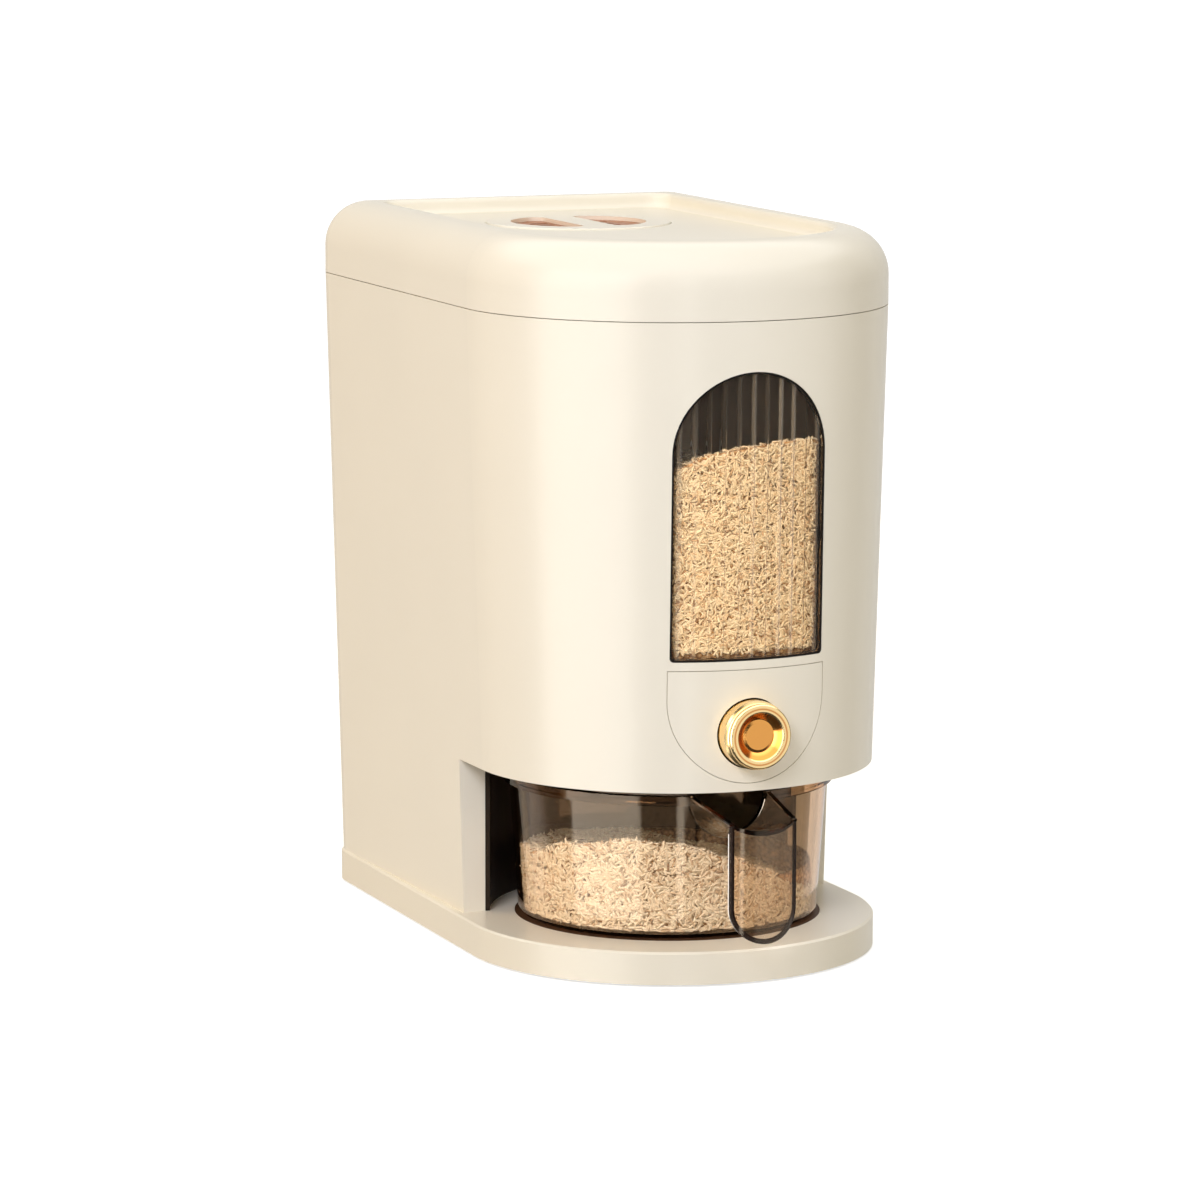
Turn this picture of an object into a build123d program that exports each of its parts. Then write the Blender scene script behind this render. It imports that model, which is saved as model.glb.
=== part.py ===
from build123d import *
import math
import os

os.makedirs("parts", exist_ok=True)

# ---------------------------------------------------------------------------
# Driving dimensions, in millimetres and degrees.
# The part stands on its feet at Z = 0, with its front towards -Y.
# The origin is the middle of its whole footprint, at floor level.
# ---------------------------------------------------------------------------

# Body, measured at the seam under the lid
body_width = 210.0
body_depth = 330.0
seam_height = 316.0
back_corner = 24.0
tightest_corner = 12.0
wall = 2.8
screw_boss_height = 16.0
screw_web = 18.0

# Body, measured where it meets the base: its walls lean in on the way down
foot_front_draft = 9.0
foot_back_draft = 6.0
foot_front_inset = 6.8
foot_back_inset = 4.8

# Base plate, its bottom cover and its feet
base_height = 17.0
base_front_margin = 4.0
base_back_margin = 5.5
base_front_inset = 5.7
base_back_inset = 4.5
base_wall = 2.6
base_edge_round = 1.0
cover_thickness = 2.0
cover_pad_thickness = 1.6
cover_pad_radius = 5.4
base_screw_inset = 11.0
base_screw_front = 14.0
base_screw_back = 30.0
cover_screw_inset = 25.0
cover_screw_front = 30.0
cover_screw_back = 40.0
foot_pad_radius = 9.0
foot_pad_height = 3.0
foot_pad_proud = 1.2
foot_pad_inset = 40.0
foot_pad_setback = 60.0
foot_pad_chamfer = 0.6
foot_pad_roof = 1.2

# Bay for the cup, open to the front
bay_height = 93.5
bay_room = 6.5
bay_lining = 2.2
cheek_setback = 27.0
deck_thickness = 2.6
deck_recess = 1.0
deck_tail = 12.0
deck_front_inset = 25.0
deck_rear_inset = 17.0
deck_front_lead = 40.0
deck_rear_lag = 40.0

# Cup with its pouring lip and grip
cup_margin = 23.3
cup_flare = 4.7
cup_headroom = 5.5
cup_wall = 2.4
cup_foot_round = 3.6
rim_width = 2.8
rim_thickness = 4.6
lip_root_half_width = 21.0
lip_tip_half_width = 16.9
lip_fall = 7.0
lip_tip_sag = 4.5
lip_wall = 2.2
lip_root_side = 1.0
lip_tip_side = 0.8
grip_overhang = 14.3
grip_bulge = 4.0
grip_thickness = 2.4
grip_clearance = 6.7
seat_clearance = 0.2

# Ring that the cup stands on
seat_ring_width = 9.0
seat_ring_depth = 1.6
seat_ring_margin = 1.8

# Hopper floor and its outlet
side_slope = 30.0
rear_slope = 27.0
floor_thickness = 2.6
neck_rise = 8.9
neck_wall = 2.0
outlet_width = 36.0
outlet_length = 9.0
outlet_lead = 10.0
spout_drop = 4.0
spout_flange = 5.0
spout_flange_thickness = 1.2
spout_round = 0.8

# Window
window_half_width = 39.0
window_sill = 2.5
window_drop = 23.5
window_corner = 2.0
gasket_width = 1.0
gasket_recess = 0.3
pane_recess = 0.9
pane_flange = 3.0
pane_flange_thickness = 1.4
flute_count = 11
flute_radius = 1.5
frame_width = 4.0
frame_thickness = 1.6

# Button and the plate around it
plate_half_width = 40.0
plate_drop = 4.0
plate_rise = 3.7
plate_thickness = 1.4
plate_gap = 0.35
button_rise = 27.7
button_radius = 16.4
button_face_radius = 15.6
button_proud = 11.4
button_skirt = 6.0
button_wall = 1.8
button_travel = 9.0
button_gap = 0.6
button_dish_radius = 11.8
button_dish_depth = 3.2
button_disc_radius = 7.9
button_disc_rise = 0.4
button_disc_bevel = 1.4
button_rim_round = 1.1
button_ring = 2.4
button_groove = 0.5
button_collar = 1.0
button_cap_depth = 4.6
guide_wall = 1.8
guide_end = 2.4
guide_flange = 5.0
guide_flange_thickness = 1.6
guide_room = 0.95
stem_radius = 4.0
spring_radius = 8.0
spring_wire = 1.2
spring_turns = 5
link_thickness = 2.5
link_half_width = 10.0
link_rib = 2.0
link_rib_run = 8.0
gate_half_width = 24.0
gate_thickness = 2.0
gate_tail = 8.0
rail_width = 3.0
rail_lip = 3.0
rail_lip_thickness = 1.6
track_lead = 24.0

# Lid
lid_height = 36.0
seam_gap = 0.4
lid_round = 22.0
crest_width = 27.0
dish_depth = 7.5
dish_round = 3.0
crest_round = 2.5
liner_recess = 1.6
liner_thickness = 2.4
liner_skirt = 10.0
liner_skirt_wall = 2.4
liner_screw_inset = 21.0
liner_screw_middle = 10.0
liner_screw_back = 24.0
liner_screw_front = 26.0
vent_count = 12
vent_ring = 24.0
liner_vent_length = 14.0
liner_vent_width = 4.0
seal_width = 2.0
seal_height = 5.0
seal_rise = 2.0

# Hinge of the lid
knuckle_radius = 3.2
knuckle_length = 14.0
hinge_spacing = 110.0
pin_radius = 1.5

# Moisture box in the lid
box_from_back = 105.0
cap_radius = 46.5
cap_thickness = 3.0
cap_proud = 0.8
cap_skirt_wall = 1.2
cap_edge_round = 1.2
box_radius = 40.0
box_depth = 19.0
box_wall = 1.8
box_flange = 4.6
box_flange_thickness = 1.4
box_vent_length = 12.0
box_vent_width = 2.5
pack_margin = 3.0
pack_height = 8.0
pack_round = 3.0
well_inner_offset = 8.0
well_radius = 34.0
well_round = 5.0
insert_thickness = 1.0
insert_slot_length = 10.0
insert_slot_width = 3.0
insert_slot_pitch = 9.0
insert_slot_rows = 4

# Screws
screw_radius = 1.6
screw_head_radius = 3.2
screw_head_height = 2.0
screw_bite = 8.0
boss_radius = 4.2

# Clearances
running = 0.3
fit = 0.15
pin_clearance = 0.05

# How far a cutting shape is drawn past what it cuts
overrun = 1.0

# ---------------------------------------------------------------------------
# Places worked out from the driving dimensions
# ---------------------------------------------------------------------------

seam_radius = body_width / 2
foot_front_radius = seam_radius - foot_front_draft
foot_back_half_width = seam_radius - foot_back_draft
base_front_radius = seam_radius - base_front_margin
base_back_half_width = seam_radius - base_back_margin
cup_mouth_radius = base_front_radius - cup_margin
cup_foot_radius = cup_mouth_radius - cup_flare
bay_radius = cup_mouth_radius + rim_width + bay_room
cup_setback = base_front_inset + base_front_radius
overall_depth = body_depth + grip_overhang + knuckle_radius
front_y = grip_overhang - overall_depth / 2
back_y = front_y + body_depth
cup_y = front_y + cup_setback
cheek_y = cup_y + cheek_setback
outlet_y = cup_y - outlet_lead
outlet_front = outlet_y - outlet_length / 2
cup_top = bay_height - cup_headroom
lip_tip_top = cup_top - lip_fall
grip_bottom = base_height + grip_clearance
deck_bottom = bay_height + deck_recess
deck_top = deck_bottom + deck_thickness
neck_top = deck_top + neck_rise
button_height = bay_height + button_rise
plate_bottom = bay_height + plate_rise
window_top = seam_height - window_drop
gate_bottom = deck_top + running
gate_top = gate_bottom + gate_thickness
lid_bottom = seam_height + seam_gap
lid_top = lid_bottom + lid_height
dish_floor = lid_top - dish_depth
lid_ceiling = dish_floor - wall
cup_bottom = base_height + seat_clearance
foot_plane = foot_pad_proud
cover_top = foot_plane + cover_thickness
cover_pad_top = cover_top + cover_pad_thickness
screw_seat = foot_plane + screw_head_height + fit
tall = 2 * lid_top


def plan_section(radius, back_half_width, front, back, corner, height):
    """D-shaped plan: a half-round front, straight sides and rounded back corners."""
    centre_y = front + radius
    reach = math.hypot(back_half_width, back - centre_y)
    taper = math.acos(radius / reach) - math.atan2(back - centre_y, back_half_width)
    side_x = radius * math.cos(taper)
    side_y = centre_y - radius * math.sin(taper)
    with BuildSketch(Plane.XY.offset(height), mode=Mode.PRIVATE) as section:
        with BuildLine():
            ThreePointArc((-side_x, side_y), (0, front), (side_x, side_y))
            Line((side_x, side_y), (back_half_width, back))
            Line((back_half_width, back), (-back_half_width, back))
            Line((-back_half_width, back), (-side_x, side_y))
        make_face()
        fillet(section.vertices().group_by(Axis.Y)[-1], corner)
    return section.sketch


def lean(height):
    """Share of the body's draft reached at a height: 0 at the seam, 1 at the base."""
    return (seam_height - height) / (seam_height - base_height)


def body_front(height):
    """Y of the body's front crown at a height."""
    return front_y + lean(height) * foot_front_inset


def body_section(height, inset=0.0):
    """Plan of the body at a height, drawn in from its outer surface."""
    share = lean(height)
    return plan_section(
        seam_radius + share * (foot_front_radius - seam_radius) - inset,
        seam_radius + share * (foot_back_half_width - seam_radius) - inset,
        body_front(height) + inset,
        back_y - share * foot_back_inset - inset,
        max(back_corner - inset, tightest_corner),
        height,
    )


def body_form(inset, low, high):
    """Solid inside the body's outer surface, drawn in by inset."""
    sections = [body_section(low, inset), body_section(high, inset)]
    return loft(sections=sections, ruled=True, mode=Mode.PRIVATE)


def base_form(inset, low, high):
    """Upright solid inside the outline of the base plate, drawn in by inset."""
    outline = plan_section(
        base_front_radius - inset,
        base_back_half_width - inset,
        front_y + base_front_inset + inset,
        back_y - base_back_inset - inset,
        max(back_corner - inset, tightest_corner),
        low,
    )
    return extrude(outline, amount=high - low, mode=Mode.PRIVATE)


def lid_form(inset, low, high):
    """Upright solid inside the outline of the lid, drawn in by inset."""
    corner = max(back_corner - inset, tightest_corner)
    outline = plan_section(
        seam_radius - inset, seam_radius - inset, front_y + inset, back_y - inset, corner, low
    )
    return extrude(outline, amount=high - low, mode=Mode.PRIVATE)


def rounded_top(solid, radius):
    """The solid with the edges of its top face rounded."""
    return fillet(solid.faces().sort_by(Axis.Z)[-1].edges(), radius)


def facing_front(height=0.0):
    """Plane in front of the part, drawn on as it is seen from the front."""
    return Plane(origin=(0, front_y - grip_overhang, height), x_dir=(1, 0, 0), z_dir=(0, -1, 0))


def front_prism(sketch):
    """A front-view outline pushed back through the front wall, to the cup's middle."""
    return extrude(sketch, amount=-(cup_y - front_y + grip_overhang), mode=Mode.PRIVATE)


def arch(margin):
    """Window outline with a half-round top, grown by margin."""
    half_width = window_half_width + margin
    spring_line = window_top - window_half_width
    with BuildSketch(facing_front(), mode=Mode.PRIVATE) as outline:
        with BuildLine():
            Line((-half_width, spring_line), (-half_width, window_bottom - margin))
            Line((-half_width, window_bottom - margin), (half_width, window_bottom - margin))
            Line((half_width, window_bottom - margin), (half_width, spring_line))
            ThreePointArc(
                (half_width, spring_line), (0, spring_line + half_width), (-half_width, spring_line)
            )
        make_face()
        fillet(outline.vertices().group_by(Axis.Z)[0], window_corner)
    return front_prism(outline.sketch)


def button_shield(margin):
    """U-shaped outline of the plate around the button, grown by margin."""
    half_width = plate_half_width + margin
    low_centre = plate_bottom + plate_half_width
    with BuildSketch(facing_front(), mode=Mode.PRIVATE) as outline:
        with BuildLine():
            Line((-half_width, low_centre), (-half_width, plate_top + margin))
            Line((-half_width, plate_top + margin), (half_width, plate_top + margin))
            Line((half_width, plate_top + margin), (half_width, low_centre))
            ThreePointArc((half_width, low_centre), (0, low_centre - half_width), (-half_width, low_centre))
        make_face()
    return front_prism(outline.sketch)


def hopper_cone(drop):
    """Four-sided funnel space above the outlet, moved down by drop."""
    rise = seam_height - neck_top
    low = neck_top - drop
    half_length = outlet_length / 2
    front_run = rise / math.tan(front_slope)
    rear_run = rise / math.tan(math.radians(rear_slope))
    side_run = rise / math.tan(math.radians(side_slope))
    with BuildSketch(Plane.XY.offset(low), mode=Mode.PRIVATE) as small:
        with Locations((0, outlet_y)):
            Rectangle(outlet_width, outlet_length)
    with BuildSketch(Plane.XY.offset(low + rise), mode=Mode.PRIVATE) as large:
        with Locations((0, outlet_y + (rear_run - front_run) / 2)):
            Rectangle(outlet_width + 2 * side_run, 2 * half_length + front_run + rear_run)
    return loft(sections=[small.sketch, large.sketch], ruled=True, mode=Mode.PRIVATE)


def upright(radius, low, high, x=0.0, y=0.0):
    """Upright cylinder between two heights."""
    return Pos(x, y, (low + high) / 2) * Cylinder(radius, high - low, mode=Mode.PRIVATE)


def fore_aft(radius, front, back, x=0.0, z=0.0):
    """Cylinder lying along Y between two places."""
    lying = Cylinder(radius, back - front, mode=Mode.PRIVATE)
    return Pos(x, (front + back) / 2, z) * Rot(90, 0, 0) * lying


def crosswise(radius, left, right, y=0.0, z=0.0):
    """Cylinder lying along X between two places."""
    lying = Cylinder(radius, right - left, mode=Mode.PRIVATE)
    return Pos((left + right) / 2, y, z) * Rot(0, 90, 0) * lying


def block(low, high):
    """Box between two corners."""
    centre = [(a + b) / 2 for a, b in zip(low, high)]
    return Pos(*centre) * Box(*[b - a for a, b in zip(low, high)], mode=Mode.PRIVATE)


def upward_screw(x, y, low, high):
    """Screw driven upwards, with its head at the low end."""
    head = upright(screw_head_radius, low, low + screw_head_height, x, y)
    return head + upright(screw_radius, low + screw_head_height, high, x, y)


def curve_drop(half_chord, radius):
    """How far a round wall falls back behind its crown, at half_chord from the middle."""
    return radius - math.sqrt(radius**2 - half_chord**2)


# ---------------------------------------------------------------------------
# Button, hopper floor and window: the floor clears the guide of the button,
# and the window starts just above the floor
# ---------------------------------------------------------------------------

guide_bore = button_radius + running
guide_outer = guide_bore + guide_wall
plate_face = body_front(button_height)
button_front = plate_face - button_proud
button_back = plate_face + button_skirt
guide_wall_y = button_back + button_travel + running
floor_over_guide = button_height + guide_outer + guide_room + floor_thickness
front_slope = math.atan2(floor_over_guide - neck_top, outlet_front - guide_wall_y - guide_end)
window_bottom = neck_top + (outlet_front - front_y - wall) * math.tan(front_slope) + window_sill
plate_top = window_bottom - plate_drop

# ---------------------------------------------------------------------------
# Base
# ---------------------------------------------------------------------------

ring_outer = cup_foot_radius + seat_ring_margin
ring_inner = ring_outer - seat_ring_width
ring_bottom = base_height - seat_ring_depth
base_screws_at = [
    (side * (base_front_radius - base_screw_inset), y)
    for side in (-1, 1)
    for y in (cheek_y + base_screw_front, back_y - base_screw_back)
]
cover_screws_at = [
    (cover_screw_inset - base_front_radius, cup_y - cover_screw_front),
    (base_front_radius - cover_screw_inset, cup_y - cover_screw_front),
    (0.0, back_y - cover_screw_back),
]
cover_screw_top = base_height - base_wall - overrun

with BuildPart() as base_plate:
    add(base_form(0, foot_plane, base_height))
    chamfer(base_plate.faces().sort_by(Axis.Z)[-1].edges(), base_edge_round)
    add(base_form(base_wall, foot_plane, base_height - base_wall), mode=Mode.SUBTRACT)
    # pocket of the ring under the cup, with a thicker floor below it
    pocket_floor = ring_bottom - base_wall
    under_top = base_height - base_wall
    add(upright(ring_outer + base_wall, pocket_floor, under_top, y=cup_y))
    add(upright(ring_inner - base_wall, pocket_floor, under_top, y=cup_y), mode=Mode.SUBTRACT)
    pocket = upright(ring_outer + fit, ring_bottom, base_height, y=cup_y)
    add(pocket - upright(ring_inner - fit, 0, tall, y=cup_y), mode=Mode.SUBTRACT)
    # bosses that the screws run through
    for x, y in base_screws_at + cover_screws_at:
        add(upright(boss_radius, cover_pad_top + fit, base_height - base_wall, x, y))
    for x, y in base_screws_at:
        add(upright(screw_radius + fit, 0, tall, x, y), mode=Mode.SUBTRACT)
    for x, y in cover_screws_at:
        add(upright(screw_radius, 0, base_height - base_wall, x, y), mode=Mode.SUBTRACT)
base_plate.part.label = "base_plate"
export_step(base_plate.part, "parts/base_plate.step")

with BuildPart() as seat_ring:
    add(upright(ring_outer, ring_bottom, base_height, y=cup_y))
    add(upright(ring_inner, ring_bottom, base_height, y=cup_y), mode=Mode.SUBTRACT)
seat_ring.part.label = "seat_ring"
export_step(seat_ring.part, "parts/seat_ring.step")

pads_at = [
    (side * (seam_radius - foot_pad_inset), end * (body_depth / 2 - foot_pad_setback))
    for side in (-1, 1)
    for end in (-1, 1)
]
pad_socket = foot_pad_height - foot_pad_proud
pad_collar_radius = foot_pad_radius + 2 * fit + cover_thickness

with BuildPart() as base_cover:
    add(base_form(base_wall + fit, foot_plane, cover_top))
    for x, y in pads_at:
        add(upright(pad_collar_radius, foot_plane, foot_plane + pad_socket + foot_pad_roof, x, y))
        add(upright(foot_pad_radius + fit, 0, foot_plane + pad_socket, x, y), mode=Mode.SUBTRACT)
    for x, y in base_screws_at + cover_screws_at:
        pad = upright(cover_pad_radius, foot_plane, cover_pad_top, x, y)
        add(pad & base_form(base_wall + fit, foot_plane, cover_pad_top))
        add(upright(screw_radius + fit, 0, tall, x, y), mode=Mode.SUBTRACT)
        add(upright(screw_head_radius + fit, 0, screw_seat, x, y), mode=Mode.SUBTRACT)
base_cover.part.label = "base_cover"
export_step(base_cover.part, "parts/base_cover.step")

with BuildPart() as foot_pads:
    for x, y in pads_at:
        add(upright(foot_pad_radius, 0, foot_pad_height, x, y))
    chamfer(foot_pads.faces().group_by(Axis.Z)[0].edges(), foot_pad_chamfer)
foot_pads.part.label = "foot_pads"
export_step(foot_pads.part, "parts/foot_pads.step")


# ---------------------------------------------------------------------------
# Body
# ---------------------------------------------------------------------------

hinge_y = back_y
hinge_z = seam_height + seam_gap / 2
hinge_centres = [-hinge_spacing / 2, hinge_spacing / 2]
bottom_boss_top = base_height + screw_boss_height

cheek_returns = body_form(wall / 2, base_height, bay_height) & block(
    (-body_width, cheek_y, base_height), (body_width, cheek_y + wall, bay_height)
)
cheek_returns -= upright(bay_radius + bay_lining + fit, 0, tall, y=cup_y)

with BuildPart() as body_shell:
    add(body_form(0, base_height, seam_height))
    add(body_form(wall, base_height - wall, seam_height + wall), mode=Mode.SUBTRACT)
    add(block((-body_width, front_y - wall, 0), (body_width, cheek_y, bay_height)), mode=Mode.SUBTRACT)
    add(cheek_returns)
    # window opening, and the shallow seat of the plate around the button
    add(arch(0), mode=Mode.SUBTRACT)
    add(button_shield(0) - body_form(plate_thickness, bay_height - wall, seam_height), mode=Mode.SUBTRACT)
    add(fore_aft(guide_outer + fit, front_y, cup_y, z=button_height), mode=Mode.SUBTRACT)
    # bosses over the base screws, joined to the walls by webs
    for x, y in base_screws_at:
        side = math.copysign(1, x)
        wall_x = side * (abs(x) + screw_web)
        web = block(
            (min(x, wall_x), y - wall / 2, base_height), (max(x, wall_x), y + wall / 2, bottom_boss_top)
        )
        add(upright(boss_radius, base_height, bottom_boss_top, x, y))
        add(web & body_form(wall / 2, base_height, bottom_boss_top + wall))
        add(upright(screw_radius, base_height, bottom_boss_top - wall, x, y), mode=Mode.SUBTRACT)
    # middle knuckle of each hinge, and room for the lid's knuckles
    for x in hinge_centres:
        add(crosswise(knuckle_radius, x - knuckle_length / 2, x + knuckle_length / 2, hinge_y, hinge_z))
        for side in (-1, 1):
            at = x + side * (knuckle_length + running)
            half = knuckle_length / 2 + running
            room = crosswise(knuckle_radius + running, at - half, at + half, hinge_y, hinge_z)
            add(room, mode=Mode.SUBTRACT)
        reach = 2 * knuckle_length
        add(crosswise(pin_radius, x - reach, x + reach, hinge_y, hinge_z), mode=Mode.SUBTRACT)
body_shell.part.label = "body_shell"
export_step(body_shell.part, "parts/body_shell.step")

with BuildPart() as base_screws:
    for x, y in base_screws_at:
        add(upward_screw(x, y, screw_seat - screw_head_height, bottom_boss_top - wall - overrun))
    for x, y in cover_screws_at:
        add(upward_screw(x, y, screw_seat - screw_head_height, cover_screw_top))
base_screws.part.label = "base_screws"
export_step(base_screws.part, "parts/base_screws.step")

with BuildPart() as bay_lining_wall:
    add(upright(bay_radius + bay_lining, base_height, deck_bottom, y=cup_y))
    add(upright(bay_radius, 0, tall, y=cup_y), mode=Mode.SUBTRACT)
    add(block((-body_width, front_y, 0), (body_width, cheek_y, deck_bottom)), mode=Mode.SUBTRACT)
bay_lining_wall.part.label = "bay_lining"
export_step(bay_lining_wall.part, "parts/bay_lining.step")

deck_back = cup_y + bay_radius + bay_lining + deck_tail
deck_screws_at = [
    (deck_front_inset - bay_radius, outlet_y - deck_front_lead),
    (bay_radius - deck_front_inset, outlet_y - deck_front_lead),
    (deck_rear_inset - bay_radius, cup_y + deck_rear_lag),
    (bay_radius - deck_rear_inset, cup_y + deck_rear_lag),
]
track_half_width = gate_half_width + running + rail_width

with BuildPart() as bay_deck:
    add(body_form(wall + fit, deck_bottom, deck_top))
    add(block((-body_width, deck_back, 0), (body_width, back_y, tall)), mode=Mode.SUBTRACT)
    add(block(
        (-outlet_width / 2 - neck_wall - fit, outlet_front - neck_wall - fit, 0),
        (outlet_width / 2 + neck_wall + fit, outlet_y + outlet_length / 2 + neck_wall + fit, tall),
    ), mode=Mode.SUBTRACT)
    for x, y in deck_screws_at:
        add(upright(screw_radius, 0, tall, x, y), mode=Mode.SUBTRACT)
bay_deck.part.label = "bay_deck"
export_step(bay_deck.part, "parts/bay_deck.step")

# ---------------------------------------------------------------------------
# Hopper floor, outlet and gate
# ---------------------------------------------------------------------------

neck_outer = (
    (-outlet_width / 2 - neck_wall, outlet_front - neck_wall),
    (outlet_width / 2 + neck_wall, outlet_y + outlet_length / 2 + neck_wall),
)
neck_inner = (
    (-outlet_width / 2, outlet_front),
    (outlet_width / 2, outlet_y + outlet_length / 2),
)
floor_bottom = neck_top - floor_thickness
leg_limit = (neck_top + seam_height) / 2

with BuildPart() as hopper_floor:
    add(hopper_cone(floor_thickness) & body_form(wall + fit, floor_bottom, seam_height))
    add(hopper_cone(0), mode=Mode.SUBTRACT)
    add(block((*neck_outer[0], gate_top + running), (*neck_outer[1], neck_top)))
    add(block((*neck_inner[0], 0), (*neck_inner[1], neck_top + overrun)), mode=Mode.SUBTRACT)
    # legs that stand on the deck, cut off by the sloping floor
    for x, y in deck_screws_at:
        add(upright(boss_radius, deck_top, leg_limit, x, y) - hopper_cone(floor_thickness / 2))
    for x, y in deck_screws_at:
        add(upright(screw_radius, 0, deck_top + screw_bite, x, y), mode=Mode.SUBTRACT)
hopper_floor.part.label = "hopper_floor"
export_step(hopper_floor.part, "parts/hopper_floor.step")

with BuildPart() as deck_screws:
    for x, y in deck_screws_at:
        add(upward_screw(x, y, deck_bottom - screw_head_height, deck_top + screw_bite - overrun))
deck_screws.part.label = "deck_screws"
export_step(deck_screws.part, "parts/deck_screws.step")

with BuildPart() as outlet_spout:
    add(block((*neck_outer[0], deck_bottom - spout_drop), (*neck_outer[1], deck_top)))
    flange_bottom = deck_bottom - spout_flange_thickness
    add(block(
        (neck_outer[0][0] - spout_flange, neck_outer[0][1] - spout_flange, flange_bottom),
        (neck_outer[1][0] + spout_flange, neck_outer[1][1] + spout_flange, deck_bottom),
    ))
    fillet(outlet_spout.faces().sort_by(Axis.Z)[0].edges(), spout_round)
    add(block((*neck_inner[0], 0), (*neck_inner[1], tall)), mode=Mode.SUBTRACT)
outlet_spout.part.label = "outlet_spout"
export_step(outlet_spout.part, "parts/outlet_spout.step")

link_y = guide_wall_y + guide_end + button_travel / 2
slot_back = outlet_front - running
slot_front = slot_back - button_travel
gate_back = outlet_y + outlet_length / 2 + gate_tail
link_top = button_height + stem_radius

with BuildPart() as gate:
    add(block((-gate_half_width, link_y, gate_bottom), (gate_half_width, gate_back, gate_top)))
    add(block((-outlet_width / 2, slot_front, 0), (outlet_width / 2, slot_back, tall)), mode=Mode.SUBTRACT)
    # upright that the stem of the button is screwed to, with a rib on each side
    link_back = link_y + link_thickness
    add(block((-link_half_width, link_y, gate_bottom), (link_half_width, link_back, link_top)))
    for rib_x in (-link_half_width, link_half_width - link_rib):
        with BuildSketch(Plane.YZ.offset(rib_x)):
            with BuildLine():
                Polyline(
                    (link_back, gate_top),
                    (link_back + link_rib_run, gate_top),
                    (link_back, link_top - link_rib_run),
                    close=True,
                )
            make_face()
        extrude(amount=link_rib)
    screw_hole = fore_aft(screw_radius + fit, link_y - overrun, link_back + overrun, z=button_height)
    add(screw_hole, mode=Mode.SUBTRACT)
gate.part.label = "gate"
export_step(gate.part, "parts/gate.step")

track_front = slot_front - track_lead
track_back = gate_back + button_travel + running

with BuildPart() as gate_track:
    rail_top = gate_top + running
    add(block(
        (-track_half_width, track_front, deck_top),
        (track_half_width, track_back + rail_width, rail_top + rail_lip_thickness),
    ))
    add(block(
        (-gate_half_width - running, track_front - overrun, 0),
        (gate_half_width + running, track_back, rail_top),
    ), mode=Mode.SUBTRACT)
    add(block(
        (-gate_half_width + rail_lip, track_front - overrun, 0),
        (gate_half_width - rail_lip, track_back, tall),
    ), mode=Mode.SUBTRACT)
gate_track.part.label = "gate_track"
export_step(gate_track.part, "parts/gate_track.step")

# ---------------------------------------------------------------------------
# Button, with its plate, guide, stem and spring
# ---------------------------------------------------------------------------

with BuildPart() as button_plate:
    add(button_shield(-plate_gap) & body_form(0, bay_height, seam_height))
    add(body_form(plate_thickness - fit, bay_height - overrun, seam_height), mode=Mode.SUBTRACT)
    add(fore_aft(button_radius + button_gap, front_y - wall, cup_y, z=button_height), mode=Mode.SUBTRACT)
button_plate.part.label = "button_plate"
export_step(button_plate.part, "parts/button_plate.step")

guide_front = plate_face + plate_thickness + curve_drop(guide_outer, foot_front_radius) + fit
flange_radius = guide_outer + guide_flange
guide_flange_y = plate_face + wall + curve_drop(flange_radius, foot_front_radius) + fit

with BuildPart() as button_guide:
    add(fore_aft(guide_outer, guide_front, guide_wall_y + guide_end, z=button_height))
    add(fore_aft(flange_radius, guide_flange_y, guide_flange_y + guide_flange_thickness, z=button_height))
    add(fore_aft(guide_bore, front_y, guide_wall_y, z=button_height), mode=Mode.SUBTRACT)
    add(fore_aft(stem_radius + pin_clearance, front_y, cup_y, z=button_height), mode=Mode.SUBTRACT)
button_guide.part.label = "button_guide"
export_step(button_guide.part, "parts/button_guide.step")

disc_back = button_front + button_cap_depth

dish_bottom = button_front + button_dish_depth
disc_front = dish_bottom - button_disc_rise
ring_back = button_front + button_ring
collar_front = ring_back + 2 * button_groove
collar_back = collar_front + button_collar
face_top = button_height + button_face_radius
barrel_top = button_height + button_radius

with BuildPart() as push_button:
    with BuildSketch(Plane.YZ) as button_profile:
        with BuildLine():
            Polyline(
                (disc_front, button_height),
                (disc_front, button_height + button_disc_radius - button_disc_bevel),
                (dish_bottom, button_height + button_disc_radius),
                (button_front, button_height + button_dish_radius),
                (button_front, face_top),
                (ring_back, face_top),
                (ring_back + button_groove, face_top - button_groove),
                (collar_front, face_top),
                (collar_back, face_top),
                (collar_back + button_groove, face_top - button_groove),
                (collar_back + 2 * button_groove, barrel_top),
                (button_back, barrel_top),
                (button_back, barrel_top - button_wall),
                (disc_back, barrel_top - button_wall),
                (disc_back, button_height),
                close=True,
            )
        make_face()
        fillet(button_profile.vertices().group_by(Axis.X)[0], button_rim_round)
    revolve(axis=Axis((0, 0, button_height), (0, 1, 0)))
push_button.part.label = "push_button"
export_step(push_button.part, "parts/push_button.step")

with BuildPart() as push_stem:
    add(fore_aft(stem_radius, disc_back, link_y, z=button_height))
    add(fore_aft(screw_radius, link_y - screw_bite - overrun, link_y, z=button_height), mode=Mode.SUBTRACT)
push_stem.part.label = "push_stem"
export_step(push_stem.part, "parts/push_stem.step")

with BuildPart() as stem_screw:
    screw_back = link_y + link_thickness
    add(fore_aft(screw_radius, link_y - screw_bite, screw_back, z=button_height))
    add(fore_aft(screw_head_radius, screw_back, screw_back + screw_head_height, z=button_height))
stem_screw.part.label = "stem_screw"
export_step(stem_screw.part, "parts/stem_screw.step")

spring_start = disc_back + spring_wire / 2
spring_length = guide_wall_y - disc_back - spring_wire

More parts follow.
